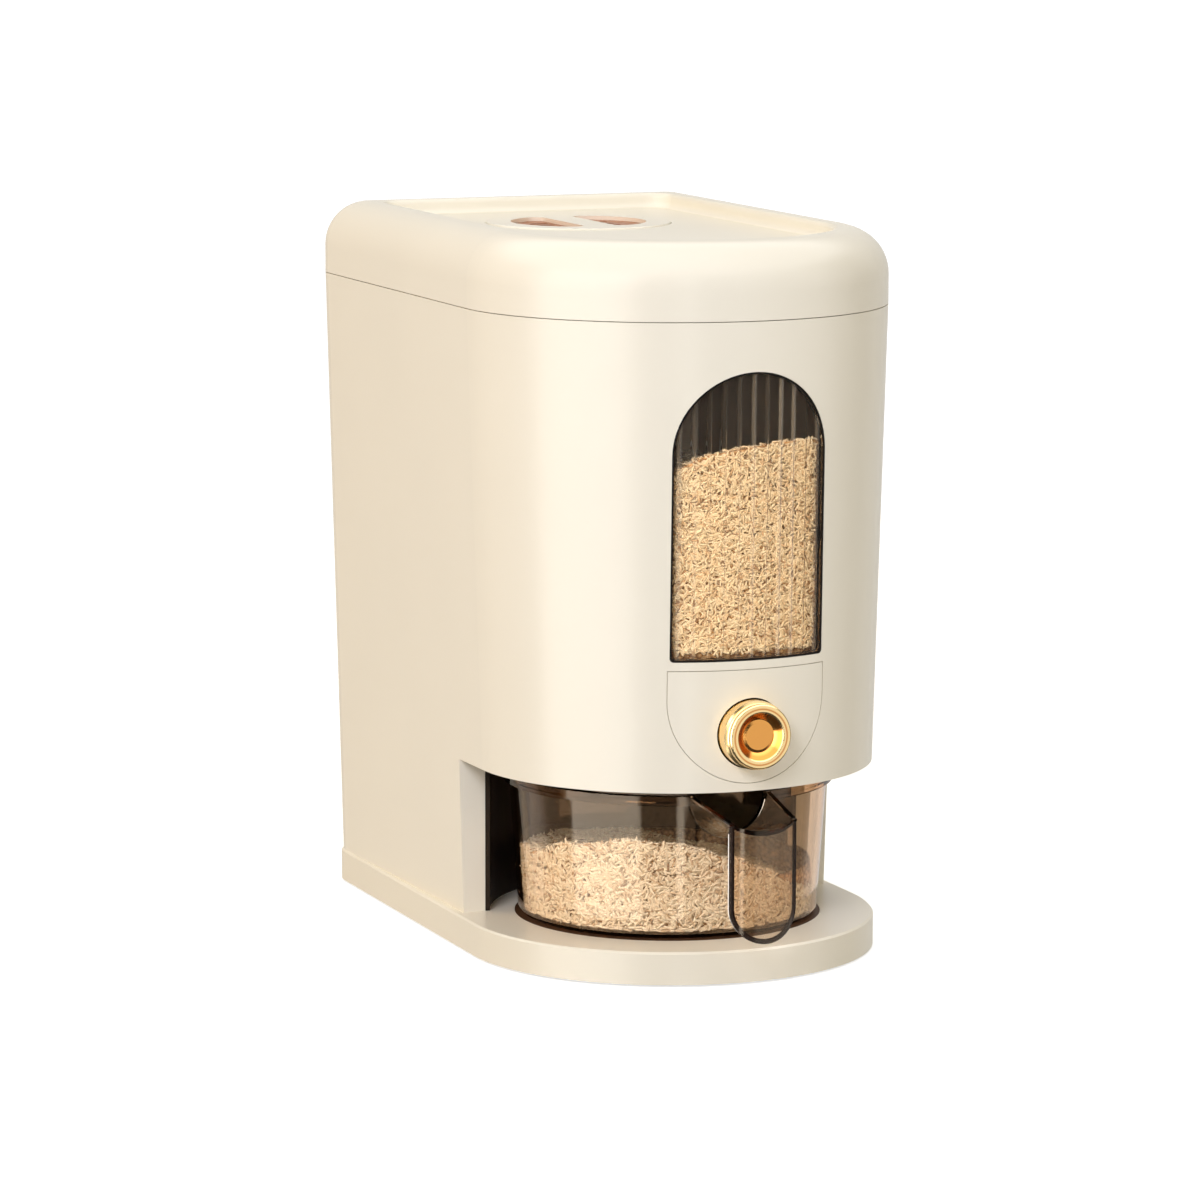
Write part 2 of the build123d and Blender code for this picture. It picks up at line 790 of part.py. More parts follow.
with BuildPart() as return_spring:
    with BuildLine(Plane.XY):
        coil = Helix(
            pitch=spring_length / spring_turns,
            height=spring_length,
            radius=spring_radius,
            center=(0, spring_start, button_height),
            direction=(0, 1, 0),
        )
    with BuildSketch(Plane(origin=coil @ 0, z_dir=coil % 0)):
        Circle(spring_wire / 2)
    sweep()
return_spring.part.label = "return_spring"
export_step(return_spring.part, "parts/return_spring.step")

# ---------------------------------------------------------------------------
# Window
# ---------------------------------------------------------------------------

window_span = (bay_height, seam_height)
frame_inset = wall + pane_flange_thickness + 2 * fit

with BuildPart() as window_gasket:
    add(arch(-fit) & body_form(gasket_recess, *window_span))
    add(body_form(wall, *window_span), mode=Mode.SUBTRACT)
    add(arch(-gasket_width), mode=Mode.SUBTRACT)
window_gasket.part.label = "window_gasket"
export_step(window_gasket.part, "parts/window_gasket.step")

pane_core = arch(-gasket_width - fit) & body_form(pane_recess, *window_span)
pane_core -= body_form(wall + fit, *window_span)
pane_edge = arch(pane_flange) & body_form(wall + fit, *window_span)
pane_edge -= body_form(wall + fit + pane_flange_thickness, *window_span)
lean_angle = math.degrees(math.atan(foot_front_inset / (seam_height - base_height)))
flute_span = 2 * (window_half_width - gasket_width - 2 * flute_radius)
flute_inset = wall + fit + pane_flange_thickness

with BuildPart() as window_pane:
    add(pane_core)
    add(pane_edge)
    # upright flutes on the inner face, which lean with the wall
    for index in range(flute_count):
        x = -flute_span / 2 + index * flute_span / (flute_count - 1)
        middle = (window_bottom + window_top) / 2
        inner_radius = seam_radius + lean(middle) * (foot_front_radius - seam_radius) - flute_inset
        centre_y = body_front(middle) + flute_inset + inner_radius
        y = centre_y - math.sqrt(inner_radius**2 - x**2) + flute_radius / 2
        flute = Cylinder(flute_radius, 2 * window_top, mode=Mode.PRIVATE)
        add(Pos(x, y, middle) * Rot(lean_angle, 0, 0) * flute, mode=Mode.SUBTRACT)
window_pane.part.label = "window_pane"
export_step(window_pane.part, "parts/window_pane.step")

with BuildPart() as window_frame:
    add(arch(pane_flange + frame_width) & body_form(wall + fit, *window_span))
    add(body_form(frame_inset + frame_thickness, *window_span), mode=Mode.SUBTRACT)
    add(arch(pane_flange + fit) - body_form(frame_inset, *window_span), mode=Mode.SUBTRACT)
    add(arch(-gasket_width), mode=Mode.SUBTRACT)
    below_pane = block((-body_width, front_y, 0), (body_width, cup_y, window_bottom - pane_flange - fit))
    add(below_pane, mode=Mode.SUBTRACT)
window_frame.part.label = "window_frame"
export_step(window_frame.part, "parts/window_frame.step")

# ---------------------------------------------------------------------------
# Cup
# ---------------------------------------------------------------------------


def lip_section(y, half_width, top, side_bottom, bottom):
    """Upright section across the pouring lip: flat top, short sides, round bottom."""
    upright_plane = Plane(origin=(0, y, 0), x_dir=(1, 0, 0), z_dir=(0, -1, 0))
    with BuildSketch(upright_plane, mode=Mode.PRIVATE) as section:
        with BuildLine():
            Line((half_width, side_bottom), (half_width, top))
            Line((half_width, top), (-half_width, top))
            Line((-half_width, top), (-half_width, side_bottom))
            ThreePointArc((-half_width, side_bottom), (0, bottom), (half_width, side_bottom))
        make_face()
    return section.sketch


lip_root_y = cup_y - cup_mouth_radius + cup_wall
lip_tip_y = front_y - grip_overhang
root_side = cup_top - lip_root_side
tip_side = lip_tip_top - lip_tip_side
grip_radius = (lip_tip_half_width**2 + grip_bulge**2) / (2 * grip_bulge)
grip_centre_y = lip_tip_y + grip_radius

lip_outside = loft(
    sections=[
        lip_section(lip_root_y, lip_root_half_width, cup_top, root_side, root_side - lip_root_half_width),
        lip_section(lip_tip_y, lip_tip_half_width, lip_tip_top, tip_side, tip_side - lip_tip_sag),
    ],
    ruled=True,
)
lip_outside &= upright(grip_radius, 0, tall, y=grip_centre_y)
lip_channel = loft(
    sections=[
        lip_section(
            lip_root_y, lip_root_half_width - lip_wall, cup_top + lip_wall, root_side,
            root_side - lip_root_half_width + lip_wall,
        ),
        lip_section(
            lip_tip_y, lip_tip_half_width - lip_wall, lip_tip_top + lip_wall, tip_side,
            tip_side - lip_tip_sag + lip_wall,
        ),
    ],
    ruled=True,
)
with BuildSketch(facing_front()) as grip_outline:
    with BuildLine():
        low_centre = grip_bottom + lip_tip_half_width
        tongue = lip_tip_half_width
        Line((-tongue, low_centre), (-tongue, tip_side))
        ThreePointArc((-tongue, tip_side), (0, tip_side - lip_tip_sag + lip_wall / 2), (tongue, tip_side))
        Line((tongue, tip_side), (tongue, low_centre))
        ThreePointArc((tongue, low_centre), (0, grip_bottom), (-tongue, low_centre))
    make_face()
grip_shell = upright(grip_radius, 0, tall, y=grip_centre_y)
grip_shell -= upright(grip_radius - grip_thickness, 0, tall, y=grip_centre_y)
grip_shell &= block((-body_width, lip_tip_y, 0), (body_width, grip_centre_y, tall))

with BuildPart() as rice_cup:
    with BuildSketch(Plane(origin=(0, cup_y, 0), x_dir=(1, 0, 0), z_dir=(0, -1, 0))) as cup_profile:
        with BuildLine():
            Polyline(
                (0, cup_bottom),
                (cup_foot_radius, cup_bottom),
                (cup_mouth_radius, cup_top - rim_thickness),
                (cup_mouth_radius + rim_width, cup_top - rim_thickness),
                (cup_mouth_radius + rim_width, cup_top),
                (cup_mouth_radius - cup_wall, cup_top),
                (cup_foot_radius - cup_wall, cup_bottom + cup_wall),
                (0, cup_bottom + cup_wall),
                close=True,
            )
        make_face()
        foot_corner = cup_profile.vertices().filter_by(
            lambda corner: abs(corner.X - cup_foot_radius) < fit
        )
        inner_corner = cup_profile.vertices().filter_by(
            lambda corner: abs(corner.X - cup_foot_radius + cup_wall) < fit
        )
        fillet(foot_corner, cup_foot_round)
        fillet(inner_corner, cup_foot_round - cup_wall)
    revolve(axis=Axis((0, cup_y, 0), (0, 0, 1)))
    add(lip_outside)
    add(front_prism(grip_outline.sketch) & grip_shell)
    add(lip_channel, mode=Mode.SUBTRACT)
    # mouth of the channel in the wall of the cup
    extrude(
        lip_section(
            lip_root_y, lip_root_half_width - lip_wall, cup_top + lip_wall, root_side,
            root_side - lip_root_half_width + lip_wall,
        ),
        amount=-2 * lip_root_half_width,
        mode=Mode.SUBTRACT,
    )
rice_cup.part.label = "rice_cup"
export_step(rice_cup.part, "parts/rice_cup.step")

# ---------------------------------------------------------------------------
# Lid
# ---------------------------------------------------------------------------

box_y = back_y - box_from_back
box_hole = box_radius + running
cap_top = dish_floor + cap_proud
cap_bottom = cap_top - cap_thickness
flange_top = cap_bottom - fit
box_flange_bottom = flange_top - box_flange_thickness
pocket_floor = box_flange_bottom - fit
pocket_radius = cap_radius + running
liner_bottom = lid_bottom + liner_recess
liner_top = liner_bottom + liner_thickness
liner_screws_at = [
    (side * (seam_radius - liner_screw_inset), y)
    for side in (-1, 1)
    for y in (cup_y + liner_screw_middle, back_y - liner_screw_back)
]
liner_screws_at.append((0.0, front_y + liner_screw_front))

lid_solid = rounded_top(lid_form(0, lid_bottom, lid_top), lid_round)
lid_hollow = rounded_top(lid_form(wall, lid_bottom - overrun, lid_ceiling), lid_round - wall)
dish = lid_form(crest_width, dish_floor, lid_top + overrun)
dish = fillet(dish.faces().sort_by(Axis.Z)[0].edges(), dish_round)

with BuildPart() as lid_shell:
    add(lid_solid)
    add(dish, mode=Mode.SUBTRACT)
    fillet(lid_shell.faces().filter_by(Plane.XY).sort_by(Axis.Z)[-1].inner_wires().edges(), crest_round)
    add(lid_hollow, mode=Mode.SUBTRACT)
    # pocket that the flange of the moisture box rests in, with its cap
    add(upright(pocket_radius + wall, pocket_floor - wall, dish_floor, y=box_y))
    add(upright(pocket_radius, pocket_floor, lid_top, y=box_y), mode=Mode.SUBTRACT)
    add(upright(box_hole, lid_bottom, lid_top, y=box_y), mode=Mode.SUBTRACT)
    for x, y in liner_screws_at:
        add(upright(boss_radius, liner_top, lid_ceiling + overrun, x, y))
        add(upright(screw_radius, liner_top, liner_top + screw_bite + overrun, x, y), mode=Mode.SUBTRACT)
    # outer knuckles of each hinge, and room for the body's knuckle
    for x in hinge_centres:
        half = knuckle_length / 2 + running
        add(crosswise(knuckle_radius + running, x - half, x + half, hinge_y, hinge_z), mode=Mode.SUBTRACT)
        for side in (-1, 1):
            at = x + side * (knuckle_length + running)
            half = knuckle_length / 2
            add(crosswise(knuckle_radius, at - half, at + half, hinge_y, hinge_z))
        reach = 2 * knuckle_length
        pin_bore = crosswise(pin_radius + pin_clearance, x - reach, x + reach, hinge_y, hinge_z)
        add(pin_bore, mode=Mode.SUBTRACT)
lid_shell.part.label = "lid_shell"
export_step(lid_shell.part, "parts/lid_shell.step")

with BuildPart() as hinge_pins:
    for x in hinge_centres:
        reach = 1.5 * knuckle_length
        add(crosswise(pin_radius, x - reach, x + reach, hinge_y, hinge_z))
hinge_pins.part.label = "hinge_pins"
export_step(hinge_pins.part, "parts/hinge_pins.step")

skirt_inset = wall + running + seal_width
skirt_bottom = lid_bottom - liner_skirt

with BuildPart() as lid_liner:
    add(lid_form(wall + fit, liner_bottom, liner_top))
    add(lid_form(skirt_inset, skirt_bottom, liner_bottom))
    add(lid_form(skirt_inset + liner_skirt_wall, skirt_bottom - overrun, liner_bottom), mode=Mode.SUBTRACT)
    # vents under the moisture box
    with BuildSketch(Plane.XY.offset(liner_bottom)):
        with Locations((0, box_y)):
            with PolarLocations(vent_ring, vent_count):
                SlotCenterToCenter(liner_vent_length, liner_vent_width)
    extrude(amount=liner_thickness, mode=Mode.SUBTRACT)
    for x, y in liner_screws_at:
        add(upright(screw_radius + fit, 0, tall, x, y), mode=Mode.SUBTRACT)
lid_liner.part.label = "lid_liner"
export_step(lid_liner.part, "parts/lid_liner.step")

with BuildPart() as liner_screws:
    for x, y in liner_screws_at:
        add(upward_screw(x, y, liner_bottom - screw_head_height, liner_top + screw_bite))
liner_screws.part.label = "liner_screws"
export_step(liner_screws.part, "parts/liner_screws.step")

seal_bottom = skirt_bottom + seal_rise

with BuildPart() as lid_seal:
    add(lid_form(wall + running + fit, seal_bottom, seal_bottom + seal_height))
    add(lid_form(skirt_inset, skirt_bottom, lid_bottom), mode=Mode.SUBTRACT)
lid_seal.part.label = "lid_seal"
export_step(lid_seal.part, "parts/lid_seal.step")

# ---------------------------------------------------------------------------
# Moisture box in the lid
# ---------------------------------------------------------------------------

box_bottom = dish_floor - box_depth

with BuildPart() as moisture_box:
    add(upright(box_radius, box_bottom, flange_top, y=box_y))
    add(upright(box_radius + box_flange, box_flange_bottom, flange_top, y=box_y))
    add(upright(box_radius - box_wall, box_bottom + box_wall, tall, y=box_y), mode=Mode.SUBTRACT)
    with BuildSketch(Plane.XY.offset(box_bottom)):
        with Locations((0, box_y)):
            with PolarLocations(vent_ring, vent_count):
                SlotCenterToCenter(box_vent_length, box_vent_width)
    extrude(amount=box_wall, mode=Mode.SUBTRACT)
moisture_box.part.label = "moisture_box"
export_step(moisture_box.part, "parts/moisture_box.step")

with BuildPart() as desiccant_pack:
    pack_radius = box_radius - box_wall - pack_margin
    pack_bottom = box_bottom + box_wall + fit
    add(upright(pack_radius, pack_bottom, pack_bottom + pack_height, y=box_y))
    fillet(desiccant_pack.edges(), pack_round)
desiccant_pack.part.label = "desiccant_pack"
export_step(desiccant_pack.part, "parts/desiccant_pack.step")


def crescent_well(margin):
    """Plan of the two finger wells of the cap, grown by margin."""
    with BuildSketch(Plane.XY.offset(cap_bottom), mode=Mode.PRIVATE) as wells:
        with Locations((0, box_y)):
            Circle(well_radius + margin)
            Rectangle(2 * (well_inner_offset - margin), 3 * well_radius, mode=Mode.SUBTRACT)
        fillet(wells.vertices(), well_round + margin)
    return wells.sketch


with BuildPart() as moisture_cap:
    add(upright(cap_radius, cap_bottom, cap_top, y=box_y))
    fillet(moisture_cap.faces().sort_by(Axis.Z)[-1].edges(), cap_edge_round)
    skirt = upright(cap_radius, pocket_floor + running, cap_bottom, y=box_y)
    add(skirt - upright(cap_radius - cap_skirt_wall, 0, tall, y=box_y))
    add(extrude(crescent_well(0), amount=cap_thickness, mode=Mode.PRIVATE), mode=Mode.SUBTRACT)
moisture_cap.part.label = "moisture_cap"
export_step(moisture_cap.part, "parts/moisture_cap.step")

with BuildPart() as cap_inserts:
    extrude(crescent_well(-fit), amount=insert_thickness)
    with BuildSketch(Plane.XY.offset(cap_bottom)):
        with Locations((0, box_y)):
            with GridLocations(4 * well_inner_offset, insert_slot_pitch, 2, insert_slot_rows):
                SlotOverall(insert_slot_length, insert_slot_width)
    extrude(amount=insert_thickness, mode=Mode.SUBTRACT)
cap_inserts.part.label = "cap_inserts"
export_step(cap_inserts.part, "parts/cap_inserts.step")
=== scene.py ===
import math
import random

import bpy
from mathutils import Matrix, Quaternion, Vector, noise


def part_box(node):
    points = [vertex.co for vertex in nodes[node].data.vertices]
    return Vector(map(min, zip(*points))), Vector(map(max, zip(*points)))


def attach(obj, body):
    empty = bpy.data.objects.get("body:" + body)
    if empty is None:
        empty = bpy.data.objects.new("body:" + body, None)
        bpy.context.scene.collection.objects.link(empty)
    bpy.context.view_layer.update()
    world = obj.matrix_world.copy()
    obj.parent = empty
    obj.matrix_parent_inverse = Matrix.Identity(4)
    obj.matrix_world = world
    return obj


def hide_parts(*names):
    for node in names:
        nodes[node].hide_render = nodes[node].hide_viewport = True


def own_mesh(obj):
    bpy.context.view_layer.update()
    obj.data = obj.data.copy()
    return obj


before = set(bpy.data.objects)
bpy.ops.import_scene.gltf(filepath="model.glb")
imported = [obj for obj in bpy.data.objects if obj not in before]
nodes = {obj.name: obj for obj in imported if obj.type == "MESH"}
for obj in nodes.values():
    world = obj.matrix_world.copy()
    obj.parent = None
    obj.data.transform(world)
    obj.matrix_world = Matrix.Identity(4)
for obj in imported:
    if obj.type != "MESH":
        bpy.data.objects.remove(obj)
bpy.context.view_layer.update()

MM = 0.001
X, Y, Z = 0, 1, 2


def ends(node, axis):
    """Lowest and highest place of a CAD node along an axis, in mm."""
    low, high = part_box(node)
    return round(low[axis] / MM, 2), round(high[axis] / MM, 2)


def middle(node, axis):
    """Middle of a CAD node along an axis, in mm."""
    low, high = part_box(node)
    return round((low[axis] + high[axis]) / 2 / MM, 2)


# Camera: its directions, its place in metres, and its lens and sensor in mm
AZIMUTH = math.radians(-21.959)
ELEVATION = math.radians(8.699)
ROLL = math.radians(0.081)
CAMERA_AT = Vector((-0.9923, -2.42525, 0.5635))
LENS = 160.36
SENSOR = 36.0
FARTHEST = 50.0

# Body, in mm. Its wall leans in from the seam down to the base. How clear the pane is goes from 0 to 1; at
# the flutes' edges it is less clear, which paints highlight streaks.
FRONT_Y = ends("body_shell", Y)[0]
BACK_Y = middle("hinge_pins", Y)
BASE_TOP = ends("body_shell", Z)[0]
SEAM = 316.0
SEAM_RADIUS = ends("body_shell", X)[1]
FOOT_RADIUS = 96.0
FOOT_BACK_HALF = 99.0
FOOT_FRONT_INSET = 6.8
FOOT_BACK_INSET = 4.8
BACK_CORNER = 20.0
SKIN = 1.5
WINDOW_HALF = 39.0
WINDOW_BOTTOM = 156.0
WINDOW_TOP = 292.5
PANE_INSET = 4.35
PANE_BACK = 0.25
PANE_RIM = 0.4
FLUTE_PITCH = 7.0
FLUTE_SHARE = 0.09
PANE_CLEAR = 0.985
PAINTED_STREAK_CLEAR = 0.82

# Hopper floor, in mm and degrees
NECK_TOP = 106.0
OUTLET_Y = middle("outlet_spout", Y)
OUTLET_HALF_DEPTH = 4.5
OUTLET_HALF_WIDTH = 18.0
FRONT_SLOPE = 28.0
REAR_SLOPE = 27.0
SIDE_SLOPE = 30.0

# Button, in mm
BUTTON_HEIGHT = middle("push_button", Z)
BUTTON_RADIUS = ends("push_button", X)[1]

# Cup and the tongue of its grip, in mm
CUP_Y = middle("seat_ring", Y)
CUP_FLOOR = 19.6
CUP_FLOOR_RADIUS = 70.6
CUP_FLARE = 4.7
CUP_DEPTH = 68.4
GRIP_Y = ends("rice_cup", Y)[0]
GRIP_BOTTOM = 23.7
GRIP_HALF = 16.9
GRIP_BULGE = 4.0
GRIP_EDGE = 1.3
GRIP_EDGE_OUT = 0.2
TONGUE_TOP = 80.2

# Grains, in mm. Those in the window are smaller, by a factor. A layer is a depth behind the wall
# and a number of grains.
GRAIN_LENGTH = 5.6
GRAIN_WIDTH = 1.6
WINDOW_GRAIN = 0.78
WINDOW_LAYERS = ((0.9, 3100), (1.7, 2900), (2.5, 1800))
WINDOW_MARGIN = 3.4
CUP_LAYERS = ((1.0, 4200), (1.8, 3400), (2.6, 1500))
CUP_FLOOR_MARGIN = 1.1
HOPPER_TOP_GRAINS = 5200
CUP_TOP_GRAINS = 3600

# Rice in the hopper, in mm: it rises to the right, dips at the left and falls to the back
HOPPER_RICE = 256.0
HOPPER_HIGHEST = 264.0
HOPPER_ACROSS = (-95, 95)
HOPPER_ALONG = (-148, 160)
HOPPER_RISE = 3.2
HOPPER_DIP = 8.0
DIP_START = 18.0
DIP_WIDTH = 20.0
FALL_START = 12.0
HOPPER_FALL = 44.0
FALL_LENGTH = 130.0
ROLL_LENGTH = 50.0
ROLL_HEIGHT = 4.0
HOPPER_BED_INSET = 7.4
HOPPER_TOP_INSET = 8.6
BED_LOW_OUTLINE = 200.0
BED_LOWEST = 107.0
BED_CLEAR = 0.5

# Rice in the cup, in mm, and its height at the wall by the angle from straight ahead
CUP_RICE_MIDDLE = 46.0
CUP_RICE_REACH = 74.0
CUP_RICE_CURVE = 1.6
CUP_RICE_ROLL = 1.6
CUP_RICE_HIGHEST = 71.0
CUP_TOP_RADIUS = 71.0
CUP_TOP_SQUARE = (-73, 73)
CUP_BED_INSET = 2.4
CUP_BED_TOP = 62.0
CUP_BED_BOTTOM = 20.6
CUP_BED_ROWS = ((44.0, 0.0), (32.0, 0.0), (24.0, 0.0), (21.2, 0.6), (CUP_BED_BOTTOM, 2.0))
CUP_RICE = (
    (-180, 44), (-120, 48), (-88, 53), (-60, 61), (-38, 66), (-22, 65), (-12, 62), (2, 56), (18, 47),
    (36, 37), (60, 28), (95, 26), (140, 34), (180, 44),
)

# Floor, light and the surroundings that gloss, metal and clear plastic meet
FLOOR_HALF = 1.4
FLOOR_LIFT = 0.7
LIGHTS_AIM = Vector((0.0, 0.0, 0.18))
BACKGROUND = 1.15
AMBIENT = 0.37
NEUTRAL = (1.0, 0.97, 0.9)
WARM_SIDE = (1.0, 0.88, 0.64)
WARM_REACH = (0.1, -0.7)
PANEL_LEVEL = 4.6
WHITE = 1.0 / PANEL_LEVEL
BEHIND = 0.7 / PANEL_LEVEL
OVERHEAD = 2.6 / PANEL_LEVEL
DARK = 0.02
FLOOR_LINE = (-0.5, -0.4)
CEILING_LINE = (0.5, 0.62)
# Degrees from straight ahead, and the brightness there as a share of the panels'
PANELS = (
    (-180, BEHIND), (-130, BEHIND), (-122, DARK), (-99, DARK), (-96, 1.0), (-44, 1.0), (-41, DARK),
    (-16, DARK), (-15, 1.0), (-10.5, 1.0), (-9.5, DARK), (4, DARK), (9, WHITE), (66, WHITE), (74, DARK),
    (100, DARK), (110, BEHIND), (180, BEHIND),
)


# ---------------------------------------------------------------------------
# Small helpers
# ---------------------------------------------------------------------------

def clamp(value):
    return max(0.0, min(1.0, value))


def lean(z):
    """Share of the body's draft at a height in mm: 0 at the seam, 1 at the base."""
    return (SEAM - z) / (SEAM - BASE_TOP)


def wall_radius(z, inset):
    return SEAM_RADIUS + lean(z) * (FOOT_RADIUS - SEAM_RADIUS) - inset


def wall_front(z):
    return FRONT_Y + lean(z) * FOOT_FRONT_INSET


def front_wall(x, z, inset):
    """Y of the round front wall, drawn in by inset, all in mm."""
    radius = wall_radius(z, inset)
    centre = wall_front(z) + inset + radius
    return centre - math.sqrt(max(radius ** 2 - x ** 2, 0.0))


def inside_arch(x, z, margin):
    """True where a spot lies in the window, at least margin from its edge, in mm."""
    half = WINDOW_HALF - margin
    if abs(x) > half or z < WINDOW_BOTTOM + margin:
        return False
    spring = WINDOW_TOP - WINDOW_HALF
    return z <= spring or math.hypot(x, z - spring) < half


def add_object(name, mesh):
    piece = bpy.data.objects.new(name, mesh)
    bpy.context.scene.collection.objects.link(piece)
    return piece


def mesh_object(name, verts, faces, skin):
    """Smooth mesh piece from points in millimetres."""
    mesh = bpy.data.meshes.new(name)
    mesh.from_pydata([Vector(v) * MM for v in verts], [], faces)
    mesh.validate()
    mesh.update()
    mesh.polygons.foreach_set("use_smooth", [True] * len(mesh.polygons))
    mesh.materials.append(skin)
    return add_object(name, mesh)


def lathe_faces(count, rings):
    """Faces between a top point, rings of count points each and a bottom point."""
    last = 1 + rings * count
    faces = [(0, 1 + k, 1 + (k + 1) % count) for k in range(count)]
    for ring in range(rings - 1):
        upper = 1 + ring * count
        lower = upper + count
        for k in range(count):
            k2 = (k + 1) % count
            faces.append((upper + k, lower + k, lower + k2, upper + k2))
    faces.extend((last, last - count + (k + 1) % count, last - count + k) for k in range(count))
    return faces


def tube(name, points, radius, skin):
    """Round bar along a run of points in mm."""
    curve = bpy.data.curves.new(name, "CURVE")
    curve.dimensions = "3D"
    curve.bevel_depth = radius * MM
    curve.bevel_resolution = 3
    curve.use_fill_caps = True
    spline = curve.splines.new("POLY")
    spline.points.add(len(points) - 1)
    for point, at in zip(spline.points, points):
        point.co = (*(Vector(at) * MM), 1.0)
    bent = add_object(name, curve)
    bpy.context.view_layer.update()
    mesh = bpy.data.meshes.new_from_object(bent.evaluated_get(bpy.context.evaluated_depsgraph_get()))
    bpy.data.objects.remove(bent)
    mesh.name = name
    mesh.polygons.foreach_set("use_smooth", [True] * len(mesh.polygons))
    mesh.materials.append(skin)
    return add_object(name, mesh)


# ---------------------------------------------------------------------------
# Materials
# ---------------------------------------------------------------------------

class Tree:
    """Node tree with short ways to add and join its nodes."""

    def __init__(self, tree):
        self.tree = tree

    def feed(self, socket, value):
        """Links the socket to the one that feeds it, or sets its value."""
        if isinstance(value, bpy.types.NodeSocket):
            self.tree.links.new(value, socket)
        else:
            socket.default_value = value

    def add(self, kind, **inputs):
        """New node. An underscore in an input's name stands for a blank."""
        node = self.tree.nodes.new(kind)
        for key, value in inputs.items():
            self.feed(node.inputs[key.replace("_", " ")], value)
        return node

    def math(self, operation, *values):
        node = self.tree.nodes.new("ShaderNodeMath")
        node.operation = operation
        for socket, value in zip(node.inputs, values):
            self.feed(socket, value)
        return node.outputs[0]

    def span(self, value, start, end, low=0.0, high=1.0):
        """Values from start to end brought to the range from low to high, and held there."""
        node = self.add("ShaderNodeMapRange", Value=value)
        for socket, number in (("From Min", start), ("From Max", end), ("To Min", low), ("To Max", high)):
            node.inputs[socket].default_value = number
        return node.outputs["Result"]

    def mix(self, factor, a, b):
        return self.add("ShaderNodeMix", Factor=factor, A=a, B=b).outputs["Result"]

    def blend(self, factor, a, b):
        """Colour between two others, each a colour or the socket that gives it."""
        node = self.add("ShaderNodeMixRGB", Fac=factor)
        for key, colour in (("Color1", a), ("Color2", b)):
            self.feed(node.inputs[key], (*colour, 1.0) if isinstance(colour, tuple) else colour)
        return node.outputs["Color"]

    def ramp(self, fac, stops):
        """Colour that changes with fac through the given stops."""
        node = self.add("ShaderNodeValToRGB", Fac=fac)
        band = node.color_ramp
        while len(band.elements) < len(stops):
            band.elements.new(0.5)
        for element, (at, colour) in zip(band.elements, stops):
            element.position = at
            element.color = (*colour, 1.0)
        return node.outputs["Color"]


class Surface(Tree):
    """Node tree of one material, with its Principled shader."""

    def __init__(self, name):
        self.material = bpy.data.materials.new(name)
        self.material.use_nodes = True
        super().__init__(self.material.node_tree)
        self.shader = self.tree.nodes["Principled BSDF"]
        self.coords = self.tree.nodes.new("ShaderNodeTexCoord").outputs["Object"]

    def link(self, out, socket):
        self.tree.links.new(out, self.shader.inputs[socket])

    def set(self, **values):
        for key, value in values.items():
            self.shader.inputs[key.replace("_", " ")].default_value = value

    def noise(self, scale, detail):
        node = self.add("ShaderNodeTexNoise", Vector=self.coords, Scale=scale, Detail=detail, Roughness=0.5)
        return node.outputs["Fac"]

    def spread(self, fac, low, high):
        """Noise values brought into the range between low and high."""
        return self.span(fac, 0.2, 0.8, low, high)

    def bump(self, height, distance, strength):
        node = self.add("ShaderNodeBump", Height=height, Distance=distance, Strength=strength)
        return node.outputs["Normal"]

    def absorb(self, colour, density):
        """Tint that deepens with the way of the light through the solid."""
        node = self.add("ShaderNodeVolumeAbsorption", Color=(*colour, 1.0), Density=density)
        self.tree.links.new(node.outputs["Volume"], self.tree.nodes["Material Output"].inputs["Volume"])

    def mottle(self, colour, vary, scale):
        """Base colour with faint cloudy differences."""
        stops = [(0.0, shade(colour, 1 - 2 * vary)), (1.0, shade(colour, 1 + 2 * vary))]
        self.link(self.ramp(self.noise(scale, 1.0), stops), "Base Color")


def srgb(r, g, b):
    """Linear colour from 0-255 screen values."""
    def line(v):
        v /= 255.0
        return v / 12.92 if v <= 0.04045 else ((v + 0.055) / 1.055) ** 2.4
    return (line(r), line(g), line(b))


def shade(colour, factor):
    return tuple(min(1.0, c * factor) for c in colour)


def moulded(name, colour, rough=0.35, vary=0.03, grain=0.00001, scale=60.0, gloss=0.5):
    """Moulded plastic: faint mottling of colour and gloss, and a fine skin."""
    n = Surface(name)
    n.mottle(colour, vary, scale)
    n.set(Specular_IOR_Level=gloss)
    n.link(n.spread(n.noise(scale * 0.5, 1.0), rough * 0.94, rough * 1.06), "Roughness")
    if grain:
        n.link(n.bump(n.noise(500.0, 2.0), grain, 0.4), "Normal")
    return n.material


def polish(n, low, high):
    """Fine uneven polish of a metal, its roughness between low and high."""
    n.link(n.spread(n.noise(400.0, 3.0), low, high), "Roughness")
    n.link(n.bump(n.noise(900.0, 2.0), 0.00001, 0.2), "Normal")


def metal(name, colour, rough):
    n = Surface(name)
    n.set(Metallic=1.0)
    n.mottle(colour, 0.05, 140.0)
    polish(n, rough * 0.8, rough * 1.25)
    return n.material


def clear(name, colour, tint, density, mirrored):
    """Clear plastic that bends light and is tinted through its thickness."""
    n = Surface(name)
    n.set(Transmission_Weight=1.0, IOR=1.5, Roughness=0.0)
    n.set(Specular_IOR_Level=0.9, Specular_Tint=(*mirrored, 1.0))
    n.mottle(colour, 0.01, 25.0)
    n.absorb(tint, density)
    return n.material


